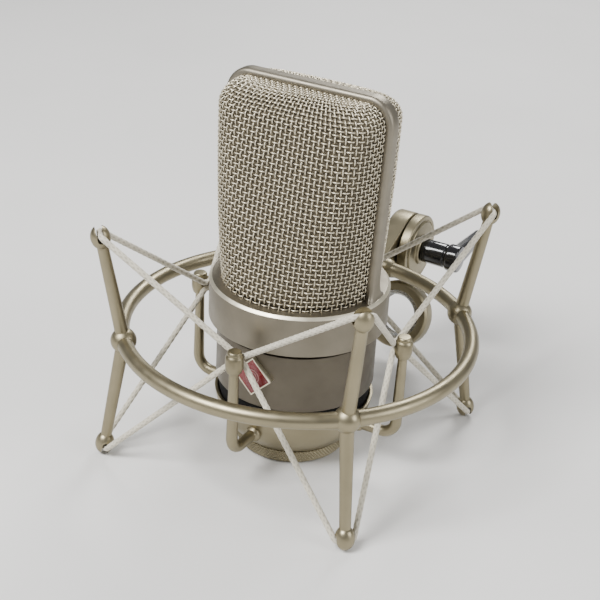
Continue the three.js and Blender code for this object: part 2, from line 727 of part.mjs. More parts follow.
function swivelBracket() {
  const outline = tangentPlate([0, 0], PIVOT_DISC_R, hoopLocal, SLEEVE_R);
  const web = sideOn(plate(outline, -LUG_HALF, LUG_HALF));
  const sleeveEnds = [V(-SLEEVE_HALF, HOOP_R, HOOP_Z), V(SLEEVE_HALF, HOOP_R, HOOP_Z)];
  const sleeve = bar(...sleeveEnds, SLEEVE_R, SLEEVE_R, 14);
  const rearArc = hoopRod(Math.PI * 0.35, Math.PI * 0.65, HOOP_ROD + GAP, 10);
  return cut(join(web, sleeve), rearArc, boltRoom);
}

const armDirection = [-Math.sin(ARM_LEAN), -Math.cos(ARM_LEAN)];
const eyeLocal = [armDirection[0] * ARM_REACH, armDirection[1] * ARM_REACH];

/** Solid of revolution about the eye's axis, which lies square to the arm. */
function eyeTurned(profile, sides, loop = true) {
  return turned(profile, sides, loop).rotateX(Math.PI / 2 - ARM_LEAN)
    .translate(EYE_OFFSET, PIVOT_Y + eyeLocal[0], PIVOT_Z + eyeLocal[1]);
}

function standArm() {
  const face = disc(PIVOT_DISC_R, ARM_NEAR, ARM_FAR);
  const rim = sideOn(plate(circle(0, 0, PIVOT_DISC_R - 2), ARM_FAR - 0.1, ARM_FAR + 0.5));
  const boss = disc(BOSS_R, ARM_FAR, BOSS_FAR, 12);
  const neckEnd = ARM_REACH - EYE_HOLE - 1.2;
  const neckMiddle = [armDirection[0] * neckEnd / 2, armDirection[1] * neckEnd / 2];
  const neck = new THREE.BoxGeometry(2 * EYE_HALF, neckEnd, ARM_FAR - ARM_NEAR).rotateZ(-ARM_LEAN)
    .translate(neckMiddle[0], neckMiddle[1], (ARM_NEAR + ARM_FAR) / 2);
  const eye = eyeTurned([
    [EYE_HOLE, -EYE_HALF], [EYE_R - 0.9, -EYE_HALF], [EYE_R, -EYE_HALF + 0.9],
    [EYE_R, EYE_HALF - 0.9], [EYE_R - 0.9, EYE_HALF], [EYE_HOLE, EYE_HALF],
  ], 28);
  return cut(join(face, rim, boss, sideOn(neck), eye), boltRoom);
}

function clampLever() {
  const blade = tangentPlate([0, 0], 4.4, [LEVER_REACH - LEVER_TIP_R, 0.8], LEVER_TIP_R);
  return join(disc(LEVER_HUB_R, LEVER_NEAR, LEVER_FAR, 10), sideOn(plate(blade, 20.4, 24, 8)));
}

add('swivel_bracket', swivelBracket(), 'cage_satin');
const washer = disc(PIVOT_DISC_R - 1.5, LUG_HALF + GAP, ARM_NEAR - GAP);
add('friction_washer', cut(washer, boltRoom), 'black_plastic');
const alongPivot = (x) => V(x, PIVOT_Y, PIVOT_Z);
const boltHead = bar(alongPivot(-6.2), alongPivot(-LUG_HALF - GAP), 5, 5, 6);
const boltShank = bar(alongPivot(-5), alongPivot(16.5), BOLT_R, BOLT_R);
add('clamp_bolt', join(boltHead, boltShank), 'bright_steel');
add('stand_arm', standArm(), 'cage_satin');
add('thread_bush', eyeTurned([
  [THREAD_R, -EYE_HALF],
  [EYE_HOLE - GAP, -EYE_HALF],
  [EYE_HOLE - GAP, EYE_HALF],
  [THREAD_R, EYE_HALF],
], 28), 'bright_steel');
add('clamp_knob', cut(disc(KNOB_R, BOSS_FAR + GAP, LEVER_NEAR - GAP, 12), boltRoom), 'black_plastic');
add('clamp_lever', clampLever(), 'black_plastic');

export default group;
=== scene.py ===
"""Looks for the side-address condenser microphone in its elastic suspension."""

import json
import math

import bpy
import numpy as np
from mathutils import Matrix, Vector


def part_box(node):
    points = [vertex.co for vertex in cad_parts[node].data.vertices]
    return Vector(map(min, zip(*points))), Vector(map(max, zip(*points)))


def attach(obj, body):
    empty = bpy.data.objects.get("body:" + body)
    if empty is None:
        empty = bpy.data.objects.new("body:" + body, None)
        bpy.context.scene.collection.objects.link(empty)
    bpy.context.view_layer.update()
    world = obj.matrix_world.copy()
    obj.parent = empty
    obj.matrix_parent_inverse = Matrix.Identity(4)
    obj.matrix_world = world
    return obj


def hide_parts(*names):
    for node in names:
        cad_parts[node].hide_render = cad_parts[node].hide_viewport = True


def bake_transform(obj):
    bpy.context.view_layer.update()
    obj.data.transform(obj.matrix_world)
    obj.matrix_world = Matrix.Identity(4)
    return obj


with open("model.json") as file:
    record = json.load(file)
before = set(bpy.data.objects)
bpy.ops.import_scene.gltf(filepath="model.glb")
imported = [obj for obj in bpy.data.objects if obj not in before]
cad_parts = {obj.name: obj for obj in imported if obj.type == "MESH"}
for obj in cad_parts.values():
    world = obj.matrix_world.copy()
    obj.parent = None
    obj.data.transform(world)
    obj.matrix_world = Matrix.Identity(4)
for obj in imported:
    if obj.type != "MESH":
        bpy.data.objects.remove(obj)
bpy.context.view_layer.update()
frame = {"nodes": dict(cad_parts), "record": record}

MM = 0.001
TAU = 2 * math.pi

# ---- places and sizes, read from the frame ----

collar_low, collar_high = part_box("collar_ring")
head_low, head_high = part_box("grille_front")
band_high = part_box("head_band")[1]
cup_low, cup_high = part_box("cradle_cup")
nut_low, nut_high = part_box("knurled_nut")
washer_low, washer_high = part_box("friction_washer")

COLLAR_R = collar_high.x
COLLAR_BOTTOM, COLLAR_TOP = collar_low.z, collar_high.z
PIVOT_Y = (washer_low.y + washer_high.y) / 2
PIVOT_Z = (washer_low.z + washer_high.z) / 2

# ---- mesh helpers ----


def mesh_from_arrays(name, vertices, faces, smooth_angle=35.0):
    """A mesh object from arrays of points and of equally long faces."""
    vertices = np.asarray(vertices, float).reshape(-1, 3)
    faces = np.asarray(faces, np.int32)
    sides = faces.shape[1]
    mesh = bpy.data.meshes.new(name)
    mesh.vertices.add(len(vertices))
    mesh.vertices.foreach_set("co", vertices.ravel())
    mesh.loops.add(faces.size)
    mesh.loops.foreach_set("vertex_index", faces.ravel())
    mesh.polygons.add(len(faces))
    mesh.polygons.foreach_set("loop_start", np.arange(0, faces.size, sides, dtype=np.int32))
    mesh.update(calc_edges=True)
    mesh.validate()
    return new_object(name, mesh, smooth_angle)


def new_object(name, mesh, smooth_angle=35.0):
    mesh.polygons.foreach_set("use_smooth", [True] * len(mesh.polygons))
    if smooth_angle < 180:
        mesh.set_sharp_from_angle(angle=math.radians(smooth_angle))
    piece = bpy.data.objects.new(name, mesh)
    bpy.context.scene.collection.objects.link(piece)
    return piece


def from_faces(name, vertices, faces, smooth_angle=35.0):
    """A mesh object from points and faces of any length."""
    mesh = bpy.data.meshes.new(name)
    mesh.from_pydata([tuple(v) for v in vertices], [], [list(f) for f in faces])
    mesh.validate()
    mesh.update()
    return new_object(name, mesh, smooth_angle)


def rounded(points, radius, steps=4, loop=True):
    """The outline with every corner rounded. A point may give its own radius as a third value."""
    result = []
    count = len(points)
    for i, point in enumerate(points):
        here = Vector(point[:2])
        own = point[2] if len(point) > 2 else radius
        at_end = not loop and i in (0, count - 1)
        if own <= 0 or at_end:
            result.append((here.x, here.y))
            continue
        before = Vector(points[i - 1][:2]) - here
        after = Vector(points[(i + 1) % count][:2]) - here
        trim = min(own, before.length * 0.49, after.length * 0.49)
        start = here + before.normalized() * trim
        end = here + after.normalized() * trim
        for k in range(steps + 1):
            t = k / steps
            spot = start * (1 - t) ** 2 + here * 2 * t * (1 - t) + end * t * t
            result.append((spot.x, spot.y))
    return result


def revolve(name, profile, sides=128, loop=True, smooth_angle=30.0):
    """Solid of revolution about Z from (radius, height) pairs in metres."""
    profile = np.array(profile, float)
    rows = len(profile)
    angles = np.linspace(0, TAU, sides, endpoint=False)
    ring = np.stack([np.cos(angles), np.sin(angles)], 1)
    on_axis = profile[:, 0] < 1e-9
    vertices, start = [], []
    for (radius, height), single in zip(profile, on_axis):
        start.append(len(vertices))
        if single:
            vertices.append((0, 0, height))
        else:
            vertices += [(radius * c, radius * s, height) for c, s in ring]
    faces = []
    for row in range(rows if loop else rows - 1):
        nxt = (row + 1) % rows
        for k in range(sides):
            k2 = (k + 1) % sides
            a = start[row] + (0 if on_axis[row] else k)
            b = start[row] + (0 if on_axis[row] else k2)
            c = start[nxt] + (0 if on_axis[nxt] else k2)
            d = start[nxt] + (0 if on_axis[nxt] else k)
            face = [a, b, c, d]
            kept = [v for i, v in enumerate(face) if v != face[i - 1]]
            if len(kept) > 2:
                faces.append(kept)
    return turned_out(from_faces(name, vertices, faces, smooth_angle))


def signed_volume(mesh):
    mesh.calc_loop_triangles()
    count = len(mesh.loop_triangles)
    index = np.empty(count * 3, np.int32)
    mesh.loop_triangles.foreach_get("vertices", index)
    points = np.empty(len(mesh.vertices) * 3)
    mesh.vertices.foreach_get("co", points)
    corner = points.reshape(-1, 3)[index.reshape(-1, 3)]
    return np.einsum("ij,ij->i", corner[:, 0], np.cross(corner[:, 1], corner[:, 2])).sum()


def turned_out(piece):
    """Makes a closed mesh's faces point out."""
    if signed_volume(piece.data) < 0:
        piece.data.flip_normals()
    return piece


def tube_arrays(points, radii, sides, up, closed=False, profile=None):
    """Vertices and quads of a round bar along points. up is never parallel to the path."""
    points = np.asarray(points, float)
    count = len(points)
    radii = np.broadcast_to(np.asarray(radii, float), (count,))
    if closed:
        tangent = np.roll(points, -1, 0) - np.roll(points, 1, 0)
    else:
        tangent = np.gradient(points, axis=0)
    tangent /= np.linalg.norm(tangent, axis=1, keepdims=True)
    up = np.broadcast_to(np.asarray(up, float), (count, 3))
    across = np.cross(up, tangent)
    across /= np.linalg.norm(across, axis=1, keepdims=True)
    over = np.cross(tangent, across)
    angle = np.linspace(0, TAU, sides, endpoint=False)
    scale = np.ones((count, sides)) if profile is None else profile
    ring = (np.cos(angle)[None, :, None] * across[:, None, :]
            + np.sin(angle)[None, :, None] * over[:, None, :])
    vertices = points[:, None, :] + ring * (radii[:, None] * scale)[:, :, None]
    vertices = vertices.reshape(-1, 3)
    rows = np.arange(count if closed else count - 1)
    nxt = (rows + 1) % count
    side = np.arange(sides)
    beside = (side + 1) % sides
    a = rows[:, None] * sides + side
    b = rows[:, None] * sides + beside
    c = nxt[:, None] * sides + beside
    d = nxt[:, None] * sides + side
    quads = np.stack([a, b, c, d], -1).reshape(-1, 4)
    return vertices, quads


def rod(name, points, radii, sides=24, up=(0, 0, 1), closed=False, smooth_angle=50.0, profile=None):
    """A capped or closed round bar along points, in metres."""
    vertices, quads = tube_arrays(points, radii, sides, up, closed, profile)
    faces = [list(q) for q in quads]
    if not closed:
        last = len(vertices) - sides
        faces.append(list(range(sides - 1, -1, -1)))
        faces.append(list(range(last, last + sides)))
    return turned_out(from_faces(name, vertices, faces, smooth_angle))


def with_relief(piece, values):
    """Stores how far each point stands proud, 0 to 1, which the piece's material turns into painted shade.
    """
    layer = piece.data.attributes.new("relief", "FLOAT", "POINT")
    layer.data.foreach_set("value", np.clip(np.asarray(values, np.float32), 0, 1))
    return piece


def evaluated(piece):
    """Replaces a piece's mesh by its mesh with modifiers applied."""
    depsgraph = bpy.context.evaluated_depsgraph_get()
    mesh = bpy.data.meshes.new_from_object(piece.evaluated_get(depsgraph))
    piece.modifiers.clear()
    piece.data = mesh
    mesh.name = piece.name
    return piece


def combine(piece, tool, operation):
    """Joins to or cuts from a piece another solid, which is then gone."""
    modifier = piece.modifiers.new("boolean", "BOOLEAN")
    modifier.operation = operation
    modifier.solver = "EXACT"
    modifier.object = tool
    bpy.context.view_layer.update()
    evaluated(piece)
    bpy.data.objects.remove(tool)
    return piece


def smoothed(piece, angle):
    """Smooth shading with edges sharper than an angle in degrees kept."""
    piece.data.polygons.foreach_set("use_smooth", [True] * len(piece.data.polygons))
    piece.data.set_sharp_from_angle(angle=math.radians(angle))
    return piece


def bevelled(piece, width, segments=3, angle=40.0):
    """Rounds a piece's sharp edges and keeps its flats flat."""
    modifier = piece.modifiers.new("bevel", "BEVEL")
    modifier.width = width
    modifier.segments = segments
    modifier.limit_method = "ANGLE"
    modifier.angle_limit = math.radians(angle)
    modifier.harden_normals = False
    bpy.context.view_layer.update()
    evaluated(piece)
    return smoothed(piece, 40)


def extruded(name, outline, low, high, smooth_angle=35.0):
    """Flat outline in X and Y, thickened from low to high along Z."""
    count = len(outline)
    vertices = [(x, y, low) for x, y in outline] + [(x, y, high) for x, y in outline]
    faces = [list(range(count - 1, -1, -1)), list(range(count, 2 * count))]
    faces += [[i, (i + 1) % count, count + (i + 1) % count, count + i] for i in range(count)]
    return turned_out(from_faces(name, vertices, faces, smooth_angle))


def arc(cx, cy, radius, start, end, steps):
    return [(cx + radius * math.cos(start + (end - start) * k / steps),
             cy + radius * math.sin(start + (end - start) * k / steps)) for k in range(steps + 1)]


def rectangle(half_width, half_height):
    return [(-half_width, -half_height), (half_width, -half_height),
            (half_width, half_height), (-half_width, half_height)]


def moved(piece, matrix):
    piece.data.transform(matrix)
    turned_out(piece)
    return piece


def join_meshes(name, pieces, smooth_angle=35.0):
    """Several solids that touch nowhere, as one piece."""
    vertices, faces, offset = [], [], 0
    for piece in pieces:
        vertices += [tuple(v.co) for v in piece.data.vertices]
        faces += [[offset + v for v in polygon.vertices] for polygon in piece.data.polygons]
        offset = len(vertices)
        bpy.data.objects.remove(piece)
    return from_faces(name, vertices, faces, smooth_angle)


# ---- materials ----


def shader(name):
    material = bpy.data.materials.new(name)
    material.use_nodes = True
    tree = material.node_tree
    return material, tree, tree.nodes["Principled BSDF"]


def node(tree, kind, **inputs):
    made = tree.nodes.new(kind)
    for key, value in inputs.items():
        made.inputs[key.replace("_", " ")].default_value = value
    return made


def coordinates(tree):
    return tree.nodes.new("ShaderNodeTexCoord").outputs["Object"]


def noise(tree, scale, detail=3.0, roughness=0.5):
    made = node(tree, "ShaderNodeTexNoise", Scale=scale, Detail=detail, Roughness=roughness)
    tree.links.new(coordinates(tree), made.inputs["Vector"])
    return made.outputs["Fac"]


def spread(tree, source, low, high, start=0.35, end=0.65):
    made = tree.nodes.new("ShaderNodeMapRange")
    made.inputs["From Min"].default_value = start
    made.inputs["From Max"].default_value = end
    made.inputs["To Min"].default_value = low
    made.inputs["To Max"].default_value = high
    tree.links.new(source, made.inputs["Value"])
    return made.outputs["Result"]


def two_tone(tree, source, first, second, start=0.35, end=0.65):
    ramp = tree.nodes.new("ShaderNodeValToRGB")
    ramp.color_ramp.elements[0].position = start
    ramp.color_ramp.elements[1].position = end
    ramp.color_ramp.elements[0].color = (*first, 1)
    ramp.color_ramp.elements[1].color = (*second, 1)
    tree.links.new(source, ramp.inputs["Fac"])
    return ramp.outputs["Color"]


def bump(tree, bsdf, source, strength, distance):
    made = node(tree, "ShaderNodeBump", Strength=strength, Distance=distance)
    tree.links.new(source, made.inputs["Height"])
    tree.links.new(made.outputs["Normal"], bsdf.inputs["Normal"])


def scaled(color, factor):
    return tuple(min(c * factor, 1.0) for c in color)


def satin_metal(name, color, roughness, grain=5200.0, depth=0.22, tone=0.06):
    """Bead-blasted plating: fine grain, faint clouding and uneven sheen."""
    material, tree, bsdf = shader(name)
    cloud = noise(tree, 55.0, 4.0)
    first, second = scaled(color, 1 - tone), scaled(color, 1 + tone)
    tree.links.new(two_tone(tree, cloud, first, second), bsdf.inputs["Base Color"])
    sheen = spread(tree, noise(tree, 240.0, 3.0), roughness - 0.04, roughness + 0.05)
    tree.links.new(sheen, bsdf.inputs["Roughness"])
    bsdf.inputs["Metallic"].default_value = 1.0
    bump(tree, bsdf, noise(tree, grain, 2.0), depth, 0.00004)
    return material


def turned_metal(name, color, roughness, pitch=0.0002, depth=0.25):
    """Lathe-turned metal with fine rings along its height."""
    material, tree, bsdf = shader(name)
    wave = node(tree, "ShaderNodeTexWave", Scale=0.31 / pitch, Distortion=0.6, Detail=1.0)
    wave.bands_direction = "Z"
    tree.links.new(coordinates(tree), wave.inputs["Vector"])
    cloud = noise(tree, 80.0, 3.0)
    tones = two_tone(tree, cloud, scaled(color, 0.93), scaled(color, 1.05))
    tree.links.new(tones, bsdf.inputs["Base Color"])
    sheen = spread(tree, noise(tree, 300.0), roughness - 0.03, roughness + 0.05)
    tree.links.new(sheen, bsdf.inputs["Roughness"])
    bsdf.inputs["Metallic"].default_value = 1.0
    bump(tree, bsdf, wave.outputs["Fac"], depth, 0.00003)
    return material


def moulded(name, color, roughness, grain=2600.0, depth=0.2, coat=0.0, tone=0.15):
    """Moulded plastic, rubber or enamel with a fine texture."""
    material, tree, bsdf = shader(name)
    cloud = noise(tree, 120.0, 3.0)
    tones = two_tone(tree, cloud, scaled(color, 1 - tone), scaled(color, 1 + tone))
    tree.links.new(tones, bsdf.inputs["Base Color"])
    sheen = spread(tree, noise(tree, 500.0), roughness - 0.04, roughness + 0.06)
    tree.links.new(sheen, bsdf.inputs["Roughness"])
    bsdf.inputs["Coat Weight"].default_value = coat
    bsdf.inputs["Coat Roughness"].default_value = 0.08
    bump(tree, bsdf, noise(tree, grain, 2.0), depth, 0.00005)
    return material


def relief_painted_shade(tree, bsdf, low, high, start, end):
    """Painted shade: darker where the relief is low, in the hollows, lighter on the high points, with a
    random mottle over it.
    """
    source = tree.nodes.new("ShaderNodeAttribute")
    source.attribute_name = "relief"
    tones = two_tone(tree, source.outputs["Fac"], low, high, start, end)
    blotches = node(tree, "ShaderNodeMix")
    blotches.data_type = "RGBA"
    blotches.blend_type = "MULTIPLY"
    blotches.inputs["Factor"].default_value = 0.6
    tree.links.new(tones, blotches.inputs[6])
    tree.links.new(two_tone(tree, noise(tree, 400.0), (0.75,) * 3, (1.0,) * 3), blotches.inputs[7])
    tree.links.new(blotches.outputs[2], bsdf.inputs["Base Color"])


def wire_material():
    material, tree, bsdf = shader("nickel_wire")
    # Painted shade: each wire goes dark where it dips under others and on its side towards the gauze.
    relief_painted_shade(tree, bsdf, (0.15, 0.13, 0.09), (0.78, 0.71, 0.55), 0.25, 0.85)
    sheen = spread(tree, noise(tree, 900.0), 0.34, 0.46)
    tree.links.new(sheen, bsdf.inputs["Roughness"])
    bsdf.inputs["Metallic"].default_value = 0.85
    bump(tree, bsdf, noise(tree, 4000.0), 0.15, 0.00003)
    return material


def felt_material():
    material, tree, bsdf = shader("black_felt")
    fibres = noise(tree, 1800.0, 6.0, 0.75)
    tones = two_tone(tree, fibres, (0.003, 0.003, 0.003), (0.016, 0.016, 0.016))
    tree.links.new(tones, bsdf.inputs["Base Color"])
    bsdf.inputs["Roughness"].default_value = 0.95
    bsdf.inputs["Specular IOR Level"].default_value = 0.1
    bump(tree, bsdf, fibres, 0.8, 0.0003)
    return material


def cord_material():
    """Braided elastic: off-white yarn with painted shade between its strands."""
    material, tree, bsdf = shader("braided_elastic")
    strands = noise(tree, 2600.0, 3.0, 0.6)
    relief_painted_shade(tree, bsdf, (0.42, 0.385, 0.30), (0.66, 0.615, 0.50), 0.0, 0.7)
    bsdf.inputs["Roughness"].default_value = 0.85
    bsdf.inputs["Sheen Weight"].default_value = 0.3
    bump(tree, bsdf, strands, 0.5, 0.0001)
    return material


def board_material():
    """Solder mask with darker traces beneath it."""
    material, tree, bsdf = shader("solder_mask")
    brick = node(tree, "ShaderNodeTexBrick", Scale=180.0)
    brick.inputs["Color1"].default_value = (0.02, 0.10, 0.045, 1)
    brick.inputs["Color2"].default_value = (0.025, 0.13, 0.055, 1)
    brick.inputs["Mortar"].default_value = (0.05, 0.20, 0.09, 1)
    brick.inputs["Mortar Size"].default_value = 0.03
    turn = tree.nodes.new("ShaderNodeMapping")
    turn.inputs["Rotation"].default_value = (math.pi / 2, 0, 0)
    tree.links.new(coordinates(tree), turn.inputs["Vector"])
    tree.links.new(turn.outputs["Vector"], brick.inputs["Vector"])
    tree.links.new(brick.outputs["Color"], bsdf.inputs["Base Color"])
    bsdf.inputs["Roughness"].default_value = 0.35
    bump(tree, bsdf, brick.outputs["Fac"], 0.3, 0.00005)
    return material


def gauze_material():
    """Fine woven gauze behind the outer wires."""
    material, tree, bsdf = shader("fine_gauze")
    uv = tree.nodes.new("ShaderNodeTexCoord").outputs["UV"]
    heights = []
    for direction in ("X", "Y"):
        wave = node(tree, "ShaderNodeTexWave", Scale=0.7, Distortion=0.0)
        wave.bands_direction = direction
        tree.links.new(uv, wave.inputs["Vector"])
        heights.append(wave.outputs["Fac"])
    weave = tree.nodes.new("ShaderNodeMath")
    weave.operation = "MULTIPLY"
    tree.links.new(heights[0], weave.inputs[0])
    tree.links.new(heights[1], weave.inputs[1])
    tones = two_tone(tree, weave.outputs[0], (0.13, 0.108, 0.072), (0.50, 0.43, 0.30), 0.1, 0.8)
    tree.links.new(tones, bsdf.inputs["Base Color"])
    bsdf.inputs["Metallic"].default_value = 0.25
    bsdf.inputs["Roughness"].default_value = 0.6
    bump(tree, bsdf, weave.outputs[0], 0.8, 0.0002)
    return material


CHAMPAGNE = (0.285, 0.250, 0.165)
NICKEL = (0.255, 0.230, 0.182)

MATERIALS = {
    "nickel_light": satin_metal("satin_nickel_light", NICKEL, 0.46),
    # Pale edge metal: its bright colour is a painted highlight.
    "nickel_edge": satin_metal("edge_painted_highlight", (0.82, 0.76, 0.60), 0.42, depth=0.08),
    # Body nickel: a darker copy of the same plating, painted shade.
    "nickel_body": satin_metal("satin_nickel_body_painted_shade", (0.135, 0.119, 0.093), 0.46),
    "cage_satin": satin_metal("satin_champagne", CHAMPAGNE, 0.40),
    "woven_wire": wire_material(),
    "gauze": gauze_material(),
    "bright_steel": turned_metal("bright_steel", (0.62, 0.62, 0.60), 0.24),
    "brass": turned_metal("turned_brass", (0.60, 0.43, 0.18), 0.28),
    "gold_film": satin_metal("gold_film", (0.80, 0.58, 0.22), 0.22, grain=900.0, depth=0.05),
    "felt": felt_material(),
    "elastic": cord_material(),
    "rubber": moulded("soft_rubber", (0.020, 0.020, 0.021), 0.75, depth=0.35),
    "black_plastic": moulded("black_plastic", (0.008, 0.008, 0.009), 0.14, depth=0.03, coat=0.6),
    "badge_relief": satin_metal("relief_metal", (0.36, 0.20, 0.19), 0.35),
    "enamel_red": moulded("red_enamel", (0.15, 0.005, 0.009), 0.25, depth=0.08, coat=0.35, tone=0.12),
    "board_green": board_material(),
    "component_blue": moulded("dipped_blue", (0.015, 0.055, 0.17), 0.30, coat=0.5),
}


def finish_piece(piece, body, slot, *nodes, extra=()):
    """Gives a piece its material and its record slot, and hangs it on a body."""
    piece.data.materials.clear()
    piece.data.materials.append(MATERIALS[slot])
    for other in extra:
        piece.data.materials.append(MATERIALS[other])
    if nodes:
        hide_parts(*nodes)
    if body:
        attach(piece, body)
    return piece


# CAD nodes keep their shape and take their slot's material; many are replaced further down.
for entry in frame["record"]["subparts"]:
    shown = frame["nodes"][entry["node"]]
    shown.data.materials.clear()
    shown.data.materials.append(MATERIALS[entry["material_slot"]])

# ---- head: woven wires over a wedge with rounded shoulders ----

HEAD_BASE = head_low.z
HEAD_TOP = head_high.z
CORNER_X, CORNER_Y, CORNER_Z = 6.8 * MM, 10 * MM, 7.5 * MM
WIDTH_BASE = 26.2 * MM
WIDTH_TOP = head_high.x
DEPTH_BASE = -head_low.y
DEPTH_TOP = 17.6 * MM
BAND_EDGE = 2.9 * MM
BAND_PROUD = band_high.x - head_high.x
WIRE_END = 2.6 * MM
WIRE_PITCH = 1.62 * MM
WIRE_R = 0.235 * MM
WIRE_WAVE = 0.30 * MM
SQUARENESS_BASE = 2.0
SQUARENESS_TOP = 4.0
SHOULDER_Z = HEAD_TOP - CORNER_Z
SLANT = math.hypot(SHOULDER_Z - HEAD_BASE, DEPTH_BASE - DEPTH_TOP)
BEND = 13.8 * MM
FLAT = DEPTH_TOP - CORNER_Y - BAND_EDGE
HEAD_LENGTH = SLANT + BEND + FLAT


def head_section(along, inset):
    """Half width, half depth, height, bend angle and squareness at a length up the front."""
    rise = min(max(along / SLANT, -0.02), 1.0)
    angle = min(max((along - SLANT) / BEND, 0.0), 1.0) * math.pi / 2
    tuck = 1 - math.cos(angle)
    width = WIDTH_BASE + (WIDTH_TOP - WIDTH_BASE) * rise - inset - (CORNER_X - inset) * tuck
    depth = DEPTH_BASE + (DEPTH_TOP - DEPTH_BASE) * rise - inset - (CORNER_Y - inset) * tuck
    height = HEAD_BASE + (SHOULDER_Z - HEAD_BASE) * rise + (CORNER_Z - inset) * math.sin(angle)
    square = SQUARENESS_BASE + (SQUARENESS_TOP - SQUARENESS_BASE) * max(rise, 0)
    return width, depth, height, angle, square


def level_curve(width, depth, square, share):
    """X at a share (-1 to 1) of the arc length round a level section, from edge to edge."""
    angle = np.linspace(-math.pi / 2, math.pi / 2, 721)
    x = width * np.sign(np.sin(angle)) * np.abs(np.sin(angle)) ** (2 / square)
    y = depth * np.abs(np.cos(angle)) ** (2 / square)
    keep = y >= WIRE_END
    x, y = x[keep], y[keep]
    length = np.concatenate([[0], np.cumsum(np.hypot(np.diff(x), np.diff(y)))])
    return np.interp(share, length / length[-1] * 2 - 1, x)


def head_point(share, along, inset):
    """Point and outward normal on the front half, which ends under the edge of the band."""
    width, depth, height, angle, square = head_section(along, inset)
    x = float(level_curve(width, depth, square, share))
    ratio = min(abs(x) / width, 1.0)
    y = depth * (1 - ratio ** square) ** (1 / square)
    if along > SLANT + BEND:
        y += (WIRE_END - y) * (along - SLANT - BEND) / FLAT
    nx = math.copysign(ratio ** (square - 1) / width, x)
    ny = -(max(y, 1e-6) / depth) ** (square - 1) / depth
    flat = Vector((nx, ny, 0)).normalized()
    slope = (DEPTH_BASE - DEPTH_TOP) / SLANT if along <= SLANT else 0.0
    normal = flat * math.cos(angle) + Vector((0, 0, 1)) * (math.sin(angle) + slope * -flat.y)
    return Vector((x, -y, height)), normal.normalized()


def woven_half(name, side):
    """Plain-woven wires: each passes over and under the wires it crosses."""
    inset = 0.6 * MM
    half_columns = 22
    columns = range(-half_columns, half_columns + 1)
    column_step = 1 / (half_columns + 0.4)
    rows = range(int(HEAD_LENGTH / WIRE_PITCH) + 1)
    fine = 4
    cache = {}

    def spot(column, row):
        key = (column, row)
        if key not in cache:
            cache[key] = head_point(column * column_step / fine, row * WIRE_PITCH / fine, inset)
        return cache[key]

    wires = []
    for column in columns:
        line = []
        for row in range(-1, int(HEAD_LENGTH / WIRE_PITCH * fine) + 1):
            found = spot(column * fine, row)
            lift = math.cos(math.pi * (column + row / fine))
            line.append((found[0] + found[1] * (lift * WIRE_WAVE), found[1], lift))
        wires.append(line)
    for row in rows:
        line = []
        for column in range(-half_columns * fine - 1, half_columns * fine + 2):
            found = spot(column, row * fine)
            lift = -math.cos(math.pi * (column / fine + row))
            line.append((found[0] + found[1] * (lift * WIRE_WAVE), found[1], lift))
        wires.append(line)
    vertices, faces, relief, offset = [], [], [], 0
    for line in wires:
        points = np.array([p for p, _, _ in line])
        normals = np.array([n for _, n, _ in line])
        points[:, 1] *= -side
        normals[:, 1] *= -side
        ring, quads = tube_arrays(points, WIRE_R, 6, normals)
        vertices.append(ring)
        faces.append(quads + offset)
        offset += len(ring)
        # Relief is each wire's lift over its neighbours plus how far round it faces outward; the material
        # paints shade from it.
        painted_side_light = 0.5 + 0.5 * np.sin(np.linspace(0, TAU, 6, endpoint=False))
        height = np.array([0.5 + 0.5 * lift for _, _, lift in line])
        relief.append((0.75 * height[:, None] + 0.25 * painted_side_light[None, :]).ravel())
    woven = mesh_from_arrays(name, np.concatenate(vertices), np.concatenate(faces), 180)
    return with_relief(woven, np.concatenate(relief))


def gauze_half(name, side):
    """One layer of fine gauze just behind the wires, with its threads laid out by length."""
    inset = 1.35 * MM
    across, up = 64, 60
    vertices, faces, lengths = [], [], []
    for row in range(up + 1):
        along = HEAD_LENGTH * row / up
        for column in range(across + 1):
            share = column / across * 2 - 1
            point = head_point(share, along, inset)[0]
            vertices.append((point.x, point.y * -side, point.z))
            lengths.append((share * 37, along / MM))
    for row in range(up):
        for column in range(across):
            corner = row * (across + 1) + column
            face = [corner, corner + 1, corner + across + 2, corner + across + 1]
            faces.append(face if side < 0 else face[::-1])
    piece = from_faces(name, vertices, faces, 180)
    layer = piece.data.uv_layers.new(name="threads")
    for loop in piece.data.loops:
        layer.data[loop.index].uv = lengths[loop.vertex_index]
    modifier = piece.modifiers.new("thickness", "SOLIDIFY")
    modifier.thickness = 0.25 * MM
    modifier.offset = -1
    return evaluated(piece)


for end_name, side in (("front", -1), ("rear", 1)):
    finish_piece(woven_half(f"woven_wires_{end_name}", side), "microphone", "woven_wire",
                 f"grille_{end_name}")
    finish_piece(gauze_half(f"fine_gauze_{end_name}", side), "microphone", "gauze",
                 f"gauze_{end_name}")

# ---- head band ----


def band_path(steps_side=26, steps_corner=16, steps_top=8):
    """Points up one side, round the shoulders and down, with outward directions in X and Z."""
    shoulder_x = WIDTH_TOP - CORNER_X
    path = []
    for k in range(steps_side):
        t = (k / steps_side) ** 2
        x = WIDTH_BASE + (WIDTH_TOP - WIDTH_BASE) * t
        foot = HEAD_BASE - 0.27 * MM
        path.append((x, foot + (SHOULDER_Z - foot) * t, 1.0, 0.0))
    for k in range(steps_corner + 1):
        angle = k / steps_corner * math.pi / 2
        outward = Vector((math.cos(angle) / CORNER_X, math.sin(angle) / CORNER_Z)).normalized()
        path.append((shoulder_x + CORNER_X * math.cos(angle), SHOULDER_Z + CORNER_Z * math.sin(angle),
                     outward.x, outward.y))
    for k in range(1, steps_top):
        path.append((shoulder_x * (1 - k / steps_top), HEAD_TOP, 0.0, 1.0))
    mirrored = [(-x, z, -nx, nz) for x, z, nx, nz in reversed(path)]
    return path + [(0.0, HEAD_TOP, 0.0, 1.0)] + mirrored


